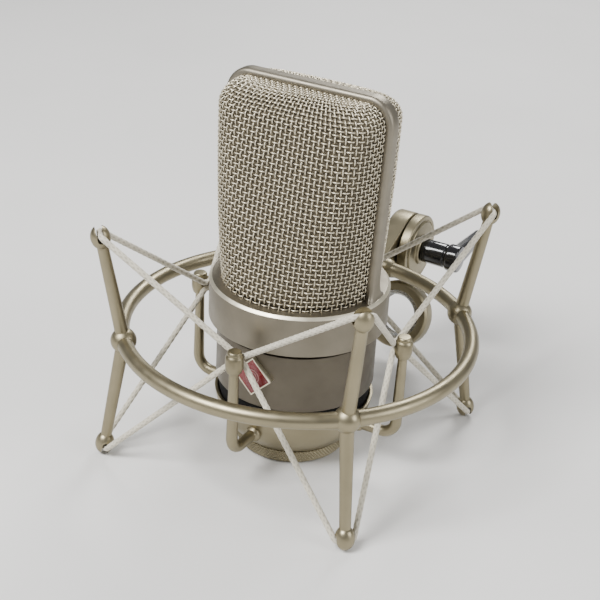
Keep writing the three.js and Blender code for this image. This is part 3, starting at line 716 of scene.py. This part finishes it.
def head_band():
    """A strap with generously rounded edges, spreading into the collar at its feet."""
    half, inner, proud = 2.75 * MM, -1.7 * MM, BAND_PROUD - 0.02 * MM
    outline = rounded([
        (-half, inner, 0.2 * MM), (half, inner, 0.2 * MM),
        (half, proud, 1.7 * MM), (-half, proud, 1.7 * MM),
    ], 0.3 * MM, 9)
    path = band_path()
    vertices, faces = [], []
    for x, z, nx, nz in path:
        climb = max(1 - (z - HEAD_BASE) / (7.0 * MM), 0)
        flare = 1 - math.sqrt(max(1 - min(climb, 1) ** 2, 0))
        room = COLLAR_R - 1.0 * MM - WIDTH_BASE - proud
        for y, outward in outline:
            reach = outward + (room * flare if outward > 0 else 0)
            wide = y * (1 + 1.0 * flare * min(max(outward / proud + 0.6, 0), 1))
            vertices.append((x + nx * reach, wide, z + nz * reach))
    count = len(outline)
    for row in range(len(path) - 1):
        for k in range(count):
            k2 = (k + 1) % count
            faces.append([row * count + k, row * count + k2, (row + 1) * count + k2, (row + 1) * count + k])
    last = (len(path) - 1) * count
    faces.append(list(range(count - 1, -1, -1)))
    faces.append(list(range(last, last + count)))
    return turned_out(from_faces("head_band_strap", vertices, faces, 60))


finish_piece(head_band(), "microphone", "nickel_light", "head_band")

# ---- collar, body and tail ----


def paint_faces(piece, test, slot_index):
    """Gives faces whose centre passes a test another of the piece's materials."""
    for polygon in piece.data.polygons:
        if test(polygon.center, polygon.normal):
            polygon.material_index = slot_index


def collar():
    """A ring with a ledge inside for the head and a bevelled upper edge carrying a painted highlight."""
    inner, ledge, bore = 24.5 * MM, 59 * MM, 27.3 * MM
    edge = 0.9 * MM
    profile = rounded([
        (bore, COLLAR_BOTTOM, 0.1 * MM), (COLLAR_R, COLLAR_BOTTOM, 0.35 * MM),
        (COLLAR_R, COLLAR_TOP - edge, 0.15 * MM), (COLLAR_R - edge, COLLAR_TOP, 0.15 * MM),
        (inner, COLLAR_TOP, 0.3 * MM), (inner, ledge, 0.1 * MM), (bore, ledge, 0.1 * MM),
    ], 0.2 * MM, 4)
    piece = revolve("collar_shell", profile, 160)
    finish_piece(piece, "microphone", "nickel_light", "collar_ring", extra=["nickel_edge"])
    high = COLLAR_TOP - edge * 1.05
    rim = 28 * MM

    def on_edge(centre, normal):
        return centre.z > high and 0.25 < normal.z < 0.95 and math.hypot(centre.x, centre.y) > rim

    # The bevel's faces take the pale edge metal, a painted highlight all round.
    paint_faces(piece, on_edge, 1)


collar()

body_low, body_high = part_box("body_tube")
shoulder_z = 25.5 * MM
body_profile = rounded([
    (26.2 * MM, body_high.z, 0.1 * MM), (26.2 * MM, 45.9 * MM, 0.1 * MM),
    (body_high.x, 45.7 * MM, 0.2 * MM), (body_high.x, shoulder_z, 0.7 * MM),
    (24.1 * MM, shoulder_z - 0.1 * MM, 0.4 * MM), (21.3 * MM, 12.9 * MM, 0.4 * MM),
    (18 * MM, body_low.z, 0.5 * MM), (14.3 * MM, body_low.z, 0.2 * MM), (14.3 * MM, 10.4 * MM, 0.2 * MM),
    (17.2 * MM, 10.4 * MM, 0.3 * MM), (22.5 * MM, 27.1 * MM, 0.3 * MM), (25.4 * MM, 27.5 * MM, 0.3 * MM),
    (25.4 * MM, body_high.z, 0.1 * MM),
], 0.3 * MM, 4)
# The body takes the darker copy of the nickel, which is painted shade.
finish_piece(revolve("body_shell", body_profile, 144), "microphone", "nickel_body", "body_tube")

# ---- badge: red enamel field in a bright frame, with a plain ring relief ----

badge_low, badge_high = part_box("badge_frame")
badge_centre = Vector((0, 0, (badge_low.z + badge_high.z) / 2))


def badge_pieces():
    to_front = Matrix.Translation(badge_centre) @ Matrix.Rotation(math.pi / 4, 4, "Y") @ Matrix(
        ((1, 0, 0, 0), (0, 0, -1, 0), (0, 1, 0, 0), (0, 0, 0, 1)))
    face = -badge_low.y
    side = (badge_high.z - badge_low.z) / math.sqrt(2)
    half = side / 2
    frame_piece = extruded("badge_surround", rectangle(half, half), 25.5 * MM, face)
    opening = half - 0.4 * MM
    hole = extruded("hole", rectangle(opening, opening), face - 0.6 * MM, face + 1 * MM)
    combine(frame_piece, hole, "DIFFERENCE")
    bevelled(frame_piece, 0.12 * MM)
    moved(frame_piece, to_front)
    wall, low, high = body_high.x - 0.05 * MM, 20 * MM, 55 * MM
    housing = revolve("housing", [(0, low), (wall, low), (wall, high), (0, high)], 128, loop=False)
    combine(frame_piece, housing, "DIFFERENCE")
    # The frame takes the pale edge metal: its own bright metal with a painted highlight.
    finish_piece(frame_piece, "microphone", "nickel_edge", "badge_frame")
    inset = opening - 0.02 * MM
    field = extruded("badge_field", rectangle(inset, inset), face - 0.58 * MM, face - 0.22 * MM)
    bevelled(field, 0.1 * MM)
    moved(field, to_front)
    finish_piece(field, "microphone", "enamel_red", "badge_enamel")
    relief = []
    slope, raised = 0.08 * MM, 0.16 * MM
    for outer, inner in ((2.6, 2.3), (1.7, 1.45), (0.8, 0.0)):
        inner_slope = slope if inner > 0 else 0
        profile = [(inner * MM, 0), (outer * MM, 0),
                   (outer * MM - slope, raised), (inner * MM + inner_slope, raised)]
        relief.append(revolve("ring", profile, 48, loop=inner > 0))
    rings = turned_out(join_meshes("badge_relief", relief))
    rings.data.transform(Matrix.Translation((0, 0, face - 0.24 * MM)))
    rings.data.transform(to_front)
    finish_piece(rings, "microphone", "enamel_red")
    rings.data.materials[0] = MATERIALS["badge_relief"]


badge_pieces()

# ---- cradle: cup, felt, nut and inner rods ----

cup_rim = cup_high.z
cup_profile = rounded([
    (cup_high.x, cup_rim, 0.25 * MM), (26.6 * MM, 16.5 * MM, 3 * MM), (24.4 * MM, 10.5 * MM, 3 * MM),
    (20.4 * MM, 6.1 * MM, 1.2 * MM), (19.4 * MM, cup_low.z, 0.5 * MM), (13.4 * MM, cup_low.z, 0.1 * MM),
    (13.4 * MM, 7.5 * MM, 0.1 * MM), (19.4 * MM, 7.5 * MM, 1 * MM), (23.1 * MM, 11.8 * MM, 3 * MM),
    (25.2 * MM, 17 * MM, 3 * MM), (26.2 * MM, cup_rim, 0.25 * MM),
], 0.3 * MM, 6)
finish_piece(revolve("cradle_bowl", cup_profile, 144), "cradle", "cage_satin", "cradle_cup")

felt_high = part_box("felt_ring")[1]
felt_profile = rounded([
    (26.2 * MM, felt_high.z, 0.8 * MM), (25.9 * MM, 21 * MM, 0.8 * MM), (24.9 * MM, 17 * MM, 1 * MM),
    (22.8 * MM, 12.1 * MM, 0.3 * MM), (21.9 * MM, 12.9 * MM, 0.3 * MM), (23.2 * MM, 17.6 * MM, 1 * MM),
    (24.6 * MM, felt_high.z, 0.4 * MM),
], 0.4 * MM, 5)
finish_piece(revolve("felt_lining", felt_profile, 96), "cradle", "felt", "felt_ring")


def knurled_nut():
    """Crossed knurls round the rim, above a plain rounded lip."""
    teeth, per_tooth = 100, 6
    inner, outer = 13.1 * MM, nut_high.x
    lip, top = nut_low.z + 1.2 * MM, nut_high.z - 0.2 * MM
    profile = [(inner, nut_low.z), (outer - 1.5 * MM, nut_low.z),
               (outer - 0.7 * MM, nut_low.z + 0.5 * MM), (outer - 0.25 * MM, lip)]
    steps = 28
    profile += [(outer, lip + (top - lip) * (k + 0.5) / steps) for k in range(steps)]
    profile += [(outer - 0.5 * MM, top), (outer - 0.8 * MM, nut_high.z), (inner, nut_high.z)]
    piece = revolve("nut_rim", profile, teeth * per_tooth, smooth_angle=60)
    for vertex in piece.data.vertices:
        radius = math.hypot(vertex.co.x, vertex.co.y)
        if radius > outer - 0.1 * MM:
            turn = teeth * math.atan2(vertex.co.y, vertex.co.x)
            climb = vertex.co.z / (0.21 * MM)
            peak = (0.5 + 0.5 * math.cos(turn + climb)) * (0.5 + 0.5 * math.cos(turn - climb))
            factor = 1 - 0.5 * MM * (1 - math.sqrt(peak)) / radius
            vertex.co.x *= factor
            vertex.co.y *= factor
    return piece


finish_piece(knurled_nut(), "nut", "cage_satin", "knurled_nut")

INNER_R = 39.5 * MM
TIP_Z = 47.7 * MM
LEG_Z = 14 * MM
CORD_STACK = 1.25 * MM


def inner_rod(k):
    """J-shaped rod: barrel tip, tapered upright, bend and a leg with a weld collar on the cup."""
    bend = 5.6 * MM
    points, radii = [], []
    top = TIP_Z - 2.5 * MM
    low = LEG_Z + bend
    for i in range(13):
        t = i / 12
        points.append((INNER_R, 0, top + (low - top) * t))
        radii.append((1.55 + 0.35 * t) * MM)
    for i in range(1, 11):
        angle = i / 10 * math.pi / 2
        points.append((INNER_R - bend + bend * math.cos(angle), 0, low - bend * math.sin(angle)))
        radii.append(1.9 * MM)
    wall = 25.6 * MM
    start = INNER_R - bend
    for i in range(1, 7):
        points.append((start + (wall - start) * i / 6, 0, LEG_Z))
        radii.append(1.9 * MM)
    shaft = rod(f"inner_rod_{k + 1}", points, radii, 20, up=(0, 1, 0))
    barrel_profile = rounded([
        (0, TIP_Z + 4.1 * MM, 0), (2.15 * MM, TIP_Z + 4.1 * MM, 0.5 * MM),
        (2.45 * MM, TIP_Z + 3.3 * MM, 0.3 * MM), (2.3 * MM, TIP_Z + 2.9 * MM, 0.3 * MM),
        (2.95 * MM, TIP_Z + 2.0 * MM, 0.5 * MM),
        (2.95 * MM, TIP_Z - 1.6 * MM, 1.2 * MM), (2.3 * MM, TIP_Z - 3.6 * MM, 0.8 * MM),
        (1.3 * MM, TIP_Z - 4.1 * MM, 0.3 * MM), (0, TIP_Z - 4.1 * MM, 0),
    ], 0.3 * MM, 4, loop=False)
    barrel = revolve("barrel", barrel_profile, 32, loop=False)
    barrel.data.transform(Matrix.Translation((INNER_R, 0, 0)))
    groove_points = [(INNER_R - 3.0 * MM, y * MM, TIP_Z) for y in (-6, -3, 0, 3, 6)]
    for level in (CORD_STACK, -CORD_STACK):
        line = [(x - 0.1 * MM, y, z + level) for x, y, z in groove_points]
        combine(barrel, rod("groove", line, 1.0 * MM, 16), "DIFFERENCE")
    combine(shaft, barrel, "UNION")
    weld_profile = rounded([
        (0, -0.9 * MM, 0), (2.9 * MM, -0.9 * MM, 0.5 * MM), (2.6 * MM, 0.6 * MM, 0.5 * MM),
        (1.6 * MM, 1.5 * MM, 0.4 * MM), (0, 1.5 * MM, 0),
    ], 0.3 * MM, 4, loop=False)
    weld = revolve("weld", weld_profile, 28, loop=False)
    weld_turn = Matrix.Rotation(math.radians(78), 4, "Y")
    weld.data.transform(Matrix.Translation((26.4 * MM, 0, LEG_Z)) @ weld_turn)
    combine(shaft, weld, "UNION")
    cup_room, above_cup = 25.1 * MM, 30 * MM
    cut_profile = [(0, 0), (cup_room, 0), (cup_room, above_cup), (0, above_cup)]
    combine(shaft, revolve("room", cut_profile, 64, loop=False), "DIFFERENCE")
    shaft.data.transform(Matrix.Rotation(k * math.pi / 2, 4, "Z"))
    smoothed(shaft, 50)
    finish_piece(shaft, "cradle", "cage_satin", f"inner_post_{k + 1}")


for k in range(4):
    inner_rod(k)

# ---- cage: hoop, posts and tips ----

HOOP_R = 58.6 * MM
HOOP_Z = 43 * MM
HOOP_ROD = 2.6 * MM
POST_TOP = Vector((65.4 * MM, 0, 80.5 * MM))
POST_BOTTOM = Vector((65.4 * MM, 0, 3.95 * MM))
POST_JOINT = Vector((HOOP_R, 0, HOOP_Z))
TIP_HALF = 3.9 * MM
TIP_R = 3.2 * MM
SLOT_HALF = 1.15 * MM
BALL_R = 4.3 * MM


def hoop():
    angles = np.linspace(0, TAU, 240, endpoint=False)
    points = np.stack([HOOP_R * np.cos(angles), HOOP_R * np.sin(angles), np.full(240, HOOP_Z)], 1)
    off = np.abs(angles % (math.pi / 2) - math.pi / 4) * HOOP_R
    sleeve = np.clip((5.4 * MM - off) / (0.3 * MM), 0, 1)
    radii = HOOP_ROD + 0.1 * MM * sleeve
    return rod("hoop_ring", points, radii, 28, closed=True)


finish_piece(hoop(), "cage", "cage_satin", *[f"hoop_arc_{k}" for k in (1, 2, 3, 4)])


def outer_post(k):
    """Ball joint on the hoop, two tapered rods, and a slotted tip on each."""
    shaft = None
    for end in (POST_TOP, POST_BOTTOM):
        along = (end - POST_JOINT).normalized()
        length = (end - POST_JOINT).length
        fine = np.linspace(0, 1, 24)
        radii = (2.3 - 0.5 * fine) * MM
        points = [POST_JOINT + along * (length * t) for t in fine]
        part = rod(f"post_{k + 1}", points, radii, 20, up=(0, 1, 0))
        profile = []
        for i in range(25):
            angle = -math.pi / 2 + math.pi * i / 24
            radius = TIP_R * math.cos(angle)
            height = TIP_HALF * math.sin(angle)
            if angle < 0:
                height -= 0.5 * MM * math.sin(math.pi * i / 12) * 0.5
            profile.append((max(radius, 0 if i in (0, 24) else 0.01 * MM), height))
        tip = revolve("tip", profile, 32, loop=False)
        slot_box = extruded("slot", rectangle(SLOT_HALF, 6 * MM), -0.1 * MM, 6 * MM)
        floor = rod("floor", [(0, y * MM, -0.1 * MM) for y in (-6, 0, 6)], SLOT_HALF, 20)
        combine(tip, slot_box, "DIFFERENCE")
        combine(tip, floor, "DIFFERENCE")
        turn = Vector((0, 0, 1)).rotation_difference(along).to_matrix().to_4x4()
        tip.data.transform(Matrix.Translation(end) @ turn)
        trim = rod("trim", [end + along * (s * MM) for s in (-1.9, 2, 8)], 4 * MM, 24, up=(0, 1, 0))
        combine(part, trim, "DIFFERENCE")
        combine(part, tip, "UNION")
        shaft = part if shaft is None else combine(shaft, part, "UNION")
    ball_profile = []
    for i in range(25):
        angle = -math.pi / 2 + math.pi * i / 24
        ball_profile.append((BALL_R * math.cos(angle) if 0 < i < 24 else 0, BALL_R * math.sin(angle)))
    ball = revolve("ball", ball_profile, 40, loop=False)
    ball.data.transform(Matrix.Translation(POST_JOINT))
    combine(shaft, ball, "UNION")
    shaft.data.transform(Matrix.Rotation(math.pi / 4 + k * math.pi / 2, 4, "Z"))
    smoothed(shaft, 45)
    finish_piece(shaft, "cage", "cage_satin", f"outer_post_{k + 1}")


for k in range(4):
    outer_post(k)

# ---- elastic cords: sixteen braided runs between slotted tips and inner rods ----

CORD_R = 1.02 * MM
BRAID_PITCH = 2.5 * MM


def smooth_path(corners, step):
    """Even points along straight stretches joined by rounded corners."""
    dense = []
    for i in range(len(corners)):
        here = Vector(corners[i][:3])
        if i in (0, len(corners) - 1):
            dense.append(here)
            continue
        before = Vector(corners[i - 1][:3]) - here
        after = Vector(corners[i + 1][:3]) - here
        trim = min(before.length, after.length, 3.0 * MM) * 0.5
        start, end = here + before.normalized() * trim, here + after.normalized() * trim
        for k in range(9):
            t = k / 8
            dense.append(start * (1 - t) ** 2 + here * 2 * t * (1 - t) + end * t * t)
    points = np.array(dense)
    length = np.concatenate([[0], np.cumsum(np.linalg.norm(np.diff(points, axis=0), axis=1))])
    even = np.linspace(0, length[-1], int(length[-1] / step) + 1)
    return np.stack([np.interp(even, length, points[:, i]) for i in range(3)], 1), even


def braided(name, corners):
    """Round braid: two sets of strands that cross, standing a little proud."""
    points, even = smooth_path(corners, 0.16 * MM)
    sides = 16
    angle = np.linspace(0, TAU, sides, endpoint=False)[None, :]
    turn = (even / BRAID_PITCH * TAU)[:, None]
    strands = np.maximum(np.cos(4 * angle + turn), np.cos(4 * angle - turn))
    profile = 0.88 + 0.12 * strands
    piece = rod(name, points, CORD_R, sides, smooth_angle=180, profile=profile)
    # The strands' height goes to the material, which paints shade between them.
    return with_relief(piece, (0.5 + 0.5 * strands).ravel())


def elastic_run(name, level, tip, sink, k, direction, node_name):
    """From the middle of a tip's slot to the microphone side of the next inner rod."""
    outer_turn = math.pi / 4 + k * math.pi / 2
    inner_turn = outer_turn + direction * math.pi / 4

    def at(turn, radius, along, z):
        return (radius * math.cos(turn) - along * math.sin(turn),
                radius * math.sin(turn) + along * math.cos(turn), z)

    corners = [
        at(outer_turn, tip.x + 0.15 * MM, 0, tip.z + sink),
        at(outer_turn, tip.x + 0.05 * MM, direction * 2.9 * MM, tip.z + sink),
        at(inner_turn, INNER_R - 2.95 * MM, -direction * 1.6 * MM, TIP_Z + level),
        at(inner_turn, INNER_R - 3.1 * MM, 0, TIP_Z + level),
    ]
    piece = braided(name, corners)
    finish_piece(piece, None, "elastic", node_name)
    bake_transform(piece)


SINK = 1.0 * MM
for k in range(4):
    for direction, word in ((1, "a"), (-1, "b")):
        elastic_run(f"elastic_upper_{k + 1}{word}", CORD_STACK, POST_TOP, SINK, k, direction,
                    "elastic_upper")
        elastic_run(f"elastic_lower_{k + 1}{word}", -CORD_STACK, POST_BOTTOM, -SINK, k, direction,
                    "elastic_lower")

# ---- stand swivel ----

SIDE_ON = Matrix(((0, 0, 1, 0), (1, 0, 0, PIVOT_Y), (0, 1, 0, PIVOT_Z), (0, 0, 0, 1)))
DISC_R = 13 * MM
ARM_LEAN = math.radians(19)
ARM_REACH = 26.6 * MM
EYE_HOLE = 9.4 * MM


def tangent_outline(near, near_r, far, far_r, steps=40):
    """Two round ends joined by their common tangents."""
    dx, dy = far[0] - near[0], far[1] - near[1]
    base = math.atan2(dy, dx)
    gap = math.acos((near_r - far_r) / math.hypot(dx, dy))
    return (arc(*near, near_r, base + gap, base - gap + TAU, steps)
            + arc(*far, far_r, base - gap, base + gap, steps // 2))


def bracket():
    hoop_at = (HOOP_R - PIVOT_Y, HOOP_Z - PIVOT_Z)
    half = 3.6 * MM
    web = extruded("swivel_lug", tangent_outline((0, 0), DISC_R, hoop_at, 4.2 * MM), -half, half)
    bevelled(web, 0.7 * MM, 4)
    groove_end = (hoop_at[0] * 0.72, hoop_at[1])
    groove_outline = tangent_outline((0, 0), DISC_R - 2.6 * MM, groove_end, 2.6 * MM)
    fill_outline = tangent_outline((0, 0), DISC_R - 3.0 * MM, groove_end, 2.2 * MM)
    for side in (-1, 1):
        low, high = sorted((side * (half - 0.35 * MM), side * (half + 1 * MM)))
        groove = extruded("groove", groove_outline, low, high)
        combine(web, groove, "DIFFERENCE")
        low, high = sorted((side * (half - 0.9 * MM), side * (half + 0.02 * MM)))
        fill = extruded("fill", fill_outline, low, high)
        combine(web, fill, "UNION")
    web.data.transform(SIDE_ON)
    turned_out(web)
    angles = np.linspace(math.pi / 2 - 0.125, math.pi / 2 + 0.125, 15)
    line = [(HOOP_R * math.cos(a), HOOP_R * math.sin(a), HOOP_Z) for a in angles]
    radii = [2.7, 3.3] + [3.6] * 11 + [3.3, 2.7]
    combine(web, rod("sleeve", line, np.array(radii) * MM, 32), "UNION")
    smoothed(web, 40)
    finish_piece(web, "cage", "cage_satin", "swivel_bracket")


bracket()


def disc_profile(radius, low, high, edge):
    corners = [(0, low, 0), (radius, low, edge), (radius, high, edge), (0, high, 0)]
    return rounded(corners, edge, 4, loop=False)


def arm():
    near, far = 4.15 * MM, 7.9 * MM
    profile = rounded([
        (2.85 * MM, near, 0.1 * MM), (DISC_R, near, 0.4 * MM), (DISC_R, far, 0.6 * MM),
        (DISC_R - 1.7 * MM, far, 0.3 * MM), (DISC_R - 1.9 * MM, far - 0.35 * MM, 0.2 * MM),
        (DISC_R - 2.2 * MM, far - 0.35 * MM, 0.2 * MM), (DISC_R - 2.5 * MM, far + 0.5 * MM, 0.4 * MM),
        (5.9 * MM, far + 0.5 * MM, 0.3 * MM), (5.5 * MM, 9.6 * MM, 0.5 * MM),
        (2.85 * MM, 9.6 * MM, 0.1 * MM),
    ], 0.3 * MM, 4)
    face = revolve("swivel_arm", profile, 96)
    face.data.transform(SIDE_ON)
    turned_out(face)
    eye_profile = rounded([
        (EYE_HOLE, -3.5 * MM, 0.2 * MM), (12.1 * MM, -3.5 * MM, 0.2 * MM), (13 * MM, -2.6 * MM, 0.4 * MM),
        (13 * MM, 2.6 * MM, 0.4 * MM), (12.1 * MM, 3.5 * MM, 0.2 * MM), (EYE_HOLE, 3.5 * MM, 0.2 * MM),
    ], 0.3 * MM, 4)
    eye = revolve("eye", eye_profile, 96)
    eye_at = Vector((5.3 * MM, PIVOT_Y - math.sin(ARM_LEAN) * ARM_REACH,
                     PIVOT_Z - math.cos(ARM_LEAN) * ARM_REACH))
    place = Matrix.Translation(eye_at) @ Matrix.Rotation(math.pi / 2 - ARM_LEAN, 4, "X")
    eye.data.transform(place)
    neck_outline = []
    for side in (1, -1):
        stations = [(0.0, 2.0), (0.35, 1.9), (0.62, 2.3), (0.8, 4.2), (0.9, 6.5)]
        neck_outline.append([(side * w * MM, t * ARM_REACH * 0.62) for t, w in stations])
    outline = neck_outline[0] + neck_outline[1][::-1]
    neck = extruded("neck", outline, -3.0 * MM, 3.0 * MM)
    bevelled(neck, 0.7 * MM, 3)
    down = Vector((0, -math.sin(ARM_LEAN), -math.cos(ARM_LEAN)))
    across = Vector((1, 0, 0))
    through = across.cross(down)
    basis = Matrix((across, down, through)).transposed().to_4x4()
    start = Vector((6.1 * MM, PIVOT_Y, PIVOT_Z)) + down * (DISC_R * 0.55)
    neck.data.transform(Matrix.Translation(start) @ basis)
    turned_out(neck)
    past = 9 * MM
    hole_profile = [(0, -past), (EYE_HOLE, -past), (EYE_HOLE, past), (0, past)]
    hole = revolve("hole", hole_profile, 96, loop=False)
    hole.data.transform(place)
    combine(face, neck, "UNION")
    combine(face, eye, "UNION")
    combine(face, hole, "DIFFERENCE")
    smoothed(face, 40)
    finish_piece(face, "arm", "cage_satin", "stand_arm")
    return place


eye_place = arm()


def thread_bush():
    """Steel insert with the stand thread's ridges inside."""
    ridges, half = 7, 3.4
    root, crest = 8.35 * MM, 7.75 * MM
    profile = [(EYE_HOLE - 0.05 * MM, half * MM), (EYE_HOLE - 0.05 * MM, -half * MM)]
    for k in range(ridges * 2 + 1):
        height = (-half + 2 * half * k / (ridges * 2)) * MM
        profile.append((root if k % 2 == 0 else crest, height))
    piece = revolve("stand_thread", profile, 72, smooth_angle=20)
    piece.data.transform(eye_place)
    finish_piece(piece, "arm", "bright_steel", "thread_bush")


thread_bush()


def knob_and_lever():
    knob_low, knob_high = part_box("clamp_knob")
    profile = rounded([
        (0, knob_low.x, 0), (4.6 * MM, knob_low.x, 0.4 * MM), (4.6 * MM, knob_high.x - 0.7 * MM, 0.3 * MM),
        (4.2 * MM, knob_high.x - 0.4 * MM, 0.2 * MM), (4.2 * MM, knob_high.x, 0.1 * MM),
        (0, knob_high.x, 0),
    ], 0.3 * MM, 4, loop=False)
    knob = revolve("clamp_hub", profile, 64, loop=False)
    knob.data.transform(SIDE_ON)
    turned_out(knob)
    finish_piece(knob, "lever", "black_plastic", "clamp_knob")
    lever_low, lever_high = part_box("clamp_lever")
    reach = lever_high.y - PIVOT_Y - 2.2 * MM
    blade_outline = tangent_outline((0, 0), 4.4 * MM, (reach, 0.8 * MM), 2.2 * MM)
    blade = extruded("clamp_blade", blade_outline, 20.3 * MM, 24.1 * MM)
    bevelled(blade, 1.1 * MM, 4)
    hub = revolve("hub", disc_profile(5.2 * MM, lever_low.x, lever_high.x, 0.9 * MM), 64, loop=False)
    combine(blade, hub, "UNION")
    blade.data.transform(SIDE_ON)
    turned_out(blade)
    smoothed(blade, 40)
    finish_piece(blade, "lever", "black_plastic", "clamp_lever")


knob_and_lever()

# ---- floor, light and camera ----


def stage():
    size = 3.0
    floor = from_faces("floor", [(-size, -size, 0), (size, -size, 0), (size, size, 0), (-size, size, 0)],
                       [[0, 1, 2, 3]])
    material, tree, bsdf = shader("pale_floor")
    tones = two_tone(tree, noise(tree, 6.0, 3.0), (0.74, 0.73, 0.71), (0.78, 0.77, 0.75))
    tree.links.new(tones, bsdf.inputs["Base Color"])
    bsdf.inputs["Roughness"].default_value = 0.8
    floor.data.materials.append(material)
    world = bpy.data.worlds.new("studio")
    world.use_nodes = True
    background = world.node_tree.nodes["Background"]
    background.inputs["Color"].default_value = (0.80, 0.81, 0.83, 1)
    background.inputs["Strength"].default_value = 0.36
    bpy.context.scene.world = world


def area_light(name, azimuth, elevation, distance, size, power, aim):
    back = Vector((math.sin(azimuth) * math.cos(elevation), -math.cos(azimuth) * math.cos(elevation),
                   math.sin(elevation)))
    data = bpy.data.lights.new(name, "AREA")
    data.shape = "DISK"
    data.size = size
    data.energy = power
    lamp = bpy.data.objects.new(name, data)
    lamp.location = aim + back * distance
    lamp.rotation_mode = "QUATERNION"
    lamp.rotation_quaternion = (-back).to_track_quat("-Z", "Y")
    bpy.context.scene.collection.objects.link(lamp)


stage()
AIM = Vector((0, 0, 60 * MM))
area_light("key", math.radians(-25), math.radians(50), 0.9, 0.45, 14, AIM)
area_light("fill", math.radians(95), math.radians(25), 1.0, 0.6, 5, AIM)
area_light("back", math.radians(190), math.radians(40), 1.0, 0.4, 7, AIM)

CAMERA_AT = Vector((0.1817, -0.3330, 0.2503))
CAMERA_PITCH = math.radians(27.49)
CAMERA_YAW = math.radians(-28.56)
CAMERA_ROLL = math.radians(3.40)
CAMERA_LENS = 76.9


def camera():
    forward = Vector((math.sin(CAMERA_YAW) * math.cos(CAMERA_PITCH),
                      math.cos(CAMERA_YAW) * math.cos(CAMERA_PITCH), -math.sin(CAMERA_PITCH)))
    level = forward.cross(Vector((0, 0, 1))).normalized()
    above = level.cross(forward)
    right = level * math.cos(CAMERA_ROLL) + above * math.sin(CAMERA_ROLL)
    up = above * math.cos(CAMERA_ROLL) - level * math.sin(CAMERA_ROLL)
    data = bpy.data.cameras.new("camera")
    data.lens = CAMERA_LENS
    data.sensor_width = 36
    data.clip_start = 0.01
    made = bpy.data.objects.new("camera", data)
    made.rotation_mode = "QUATERNION"
    made.rotation_quaternion = Matrix((right, up, -forward)).transposed().to_quaternion()
    made.location = CAMERA_AT
    bpy.context.scene.collection.objects.link(made)
    bpy.context.scene.camera = made


camera()
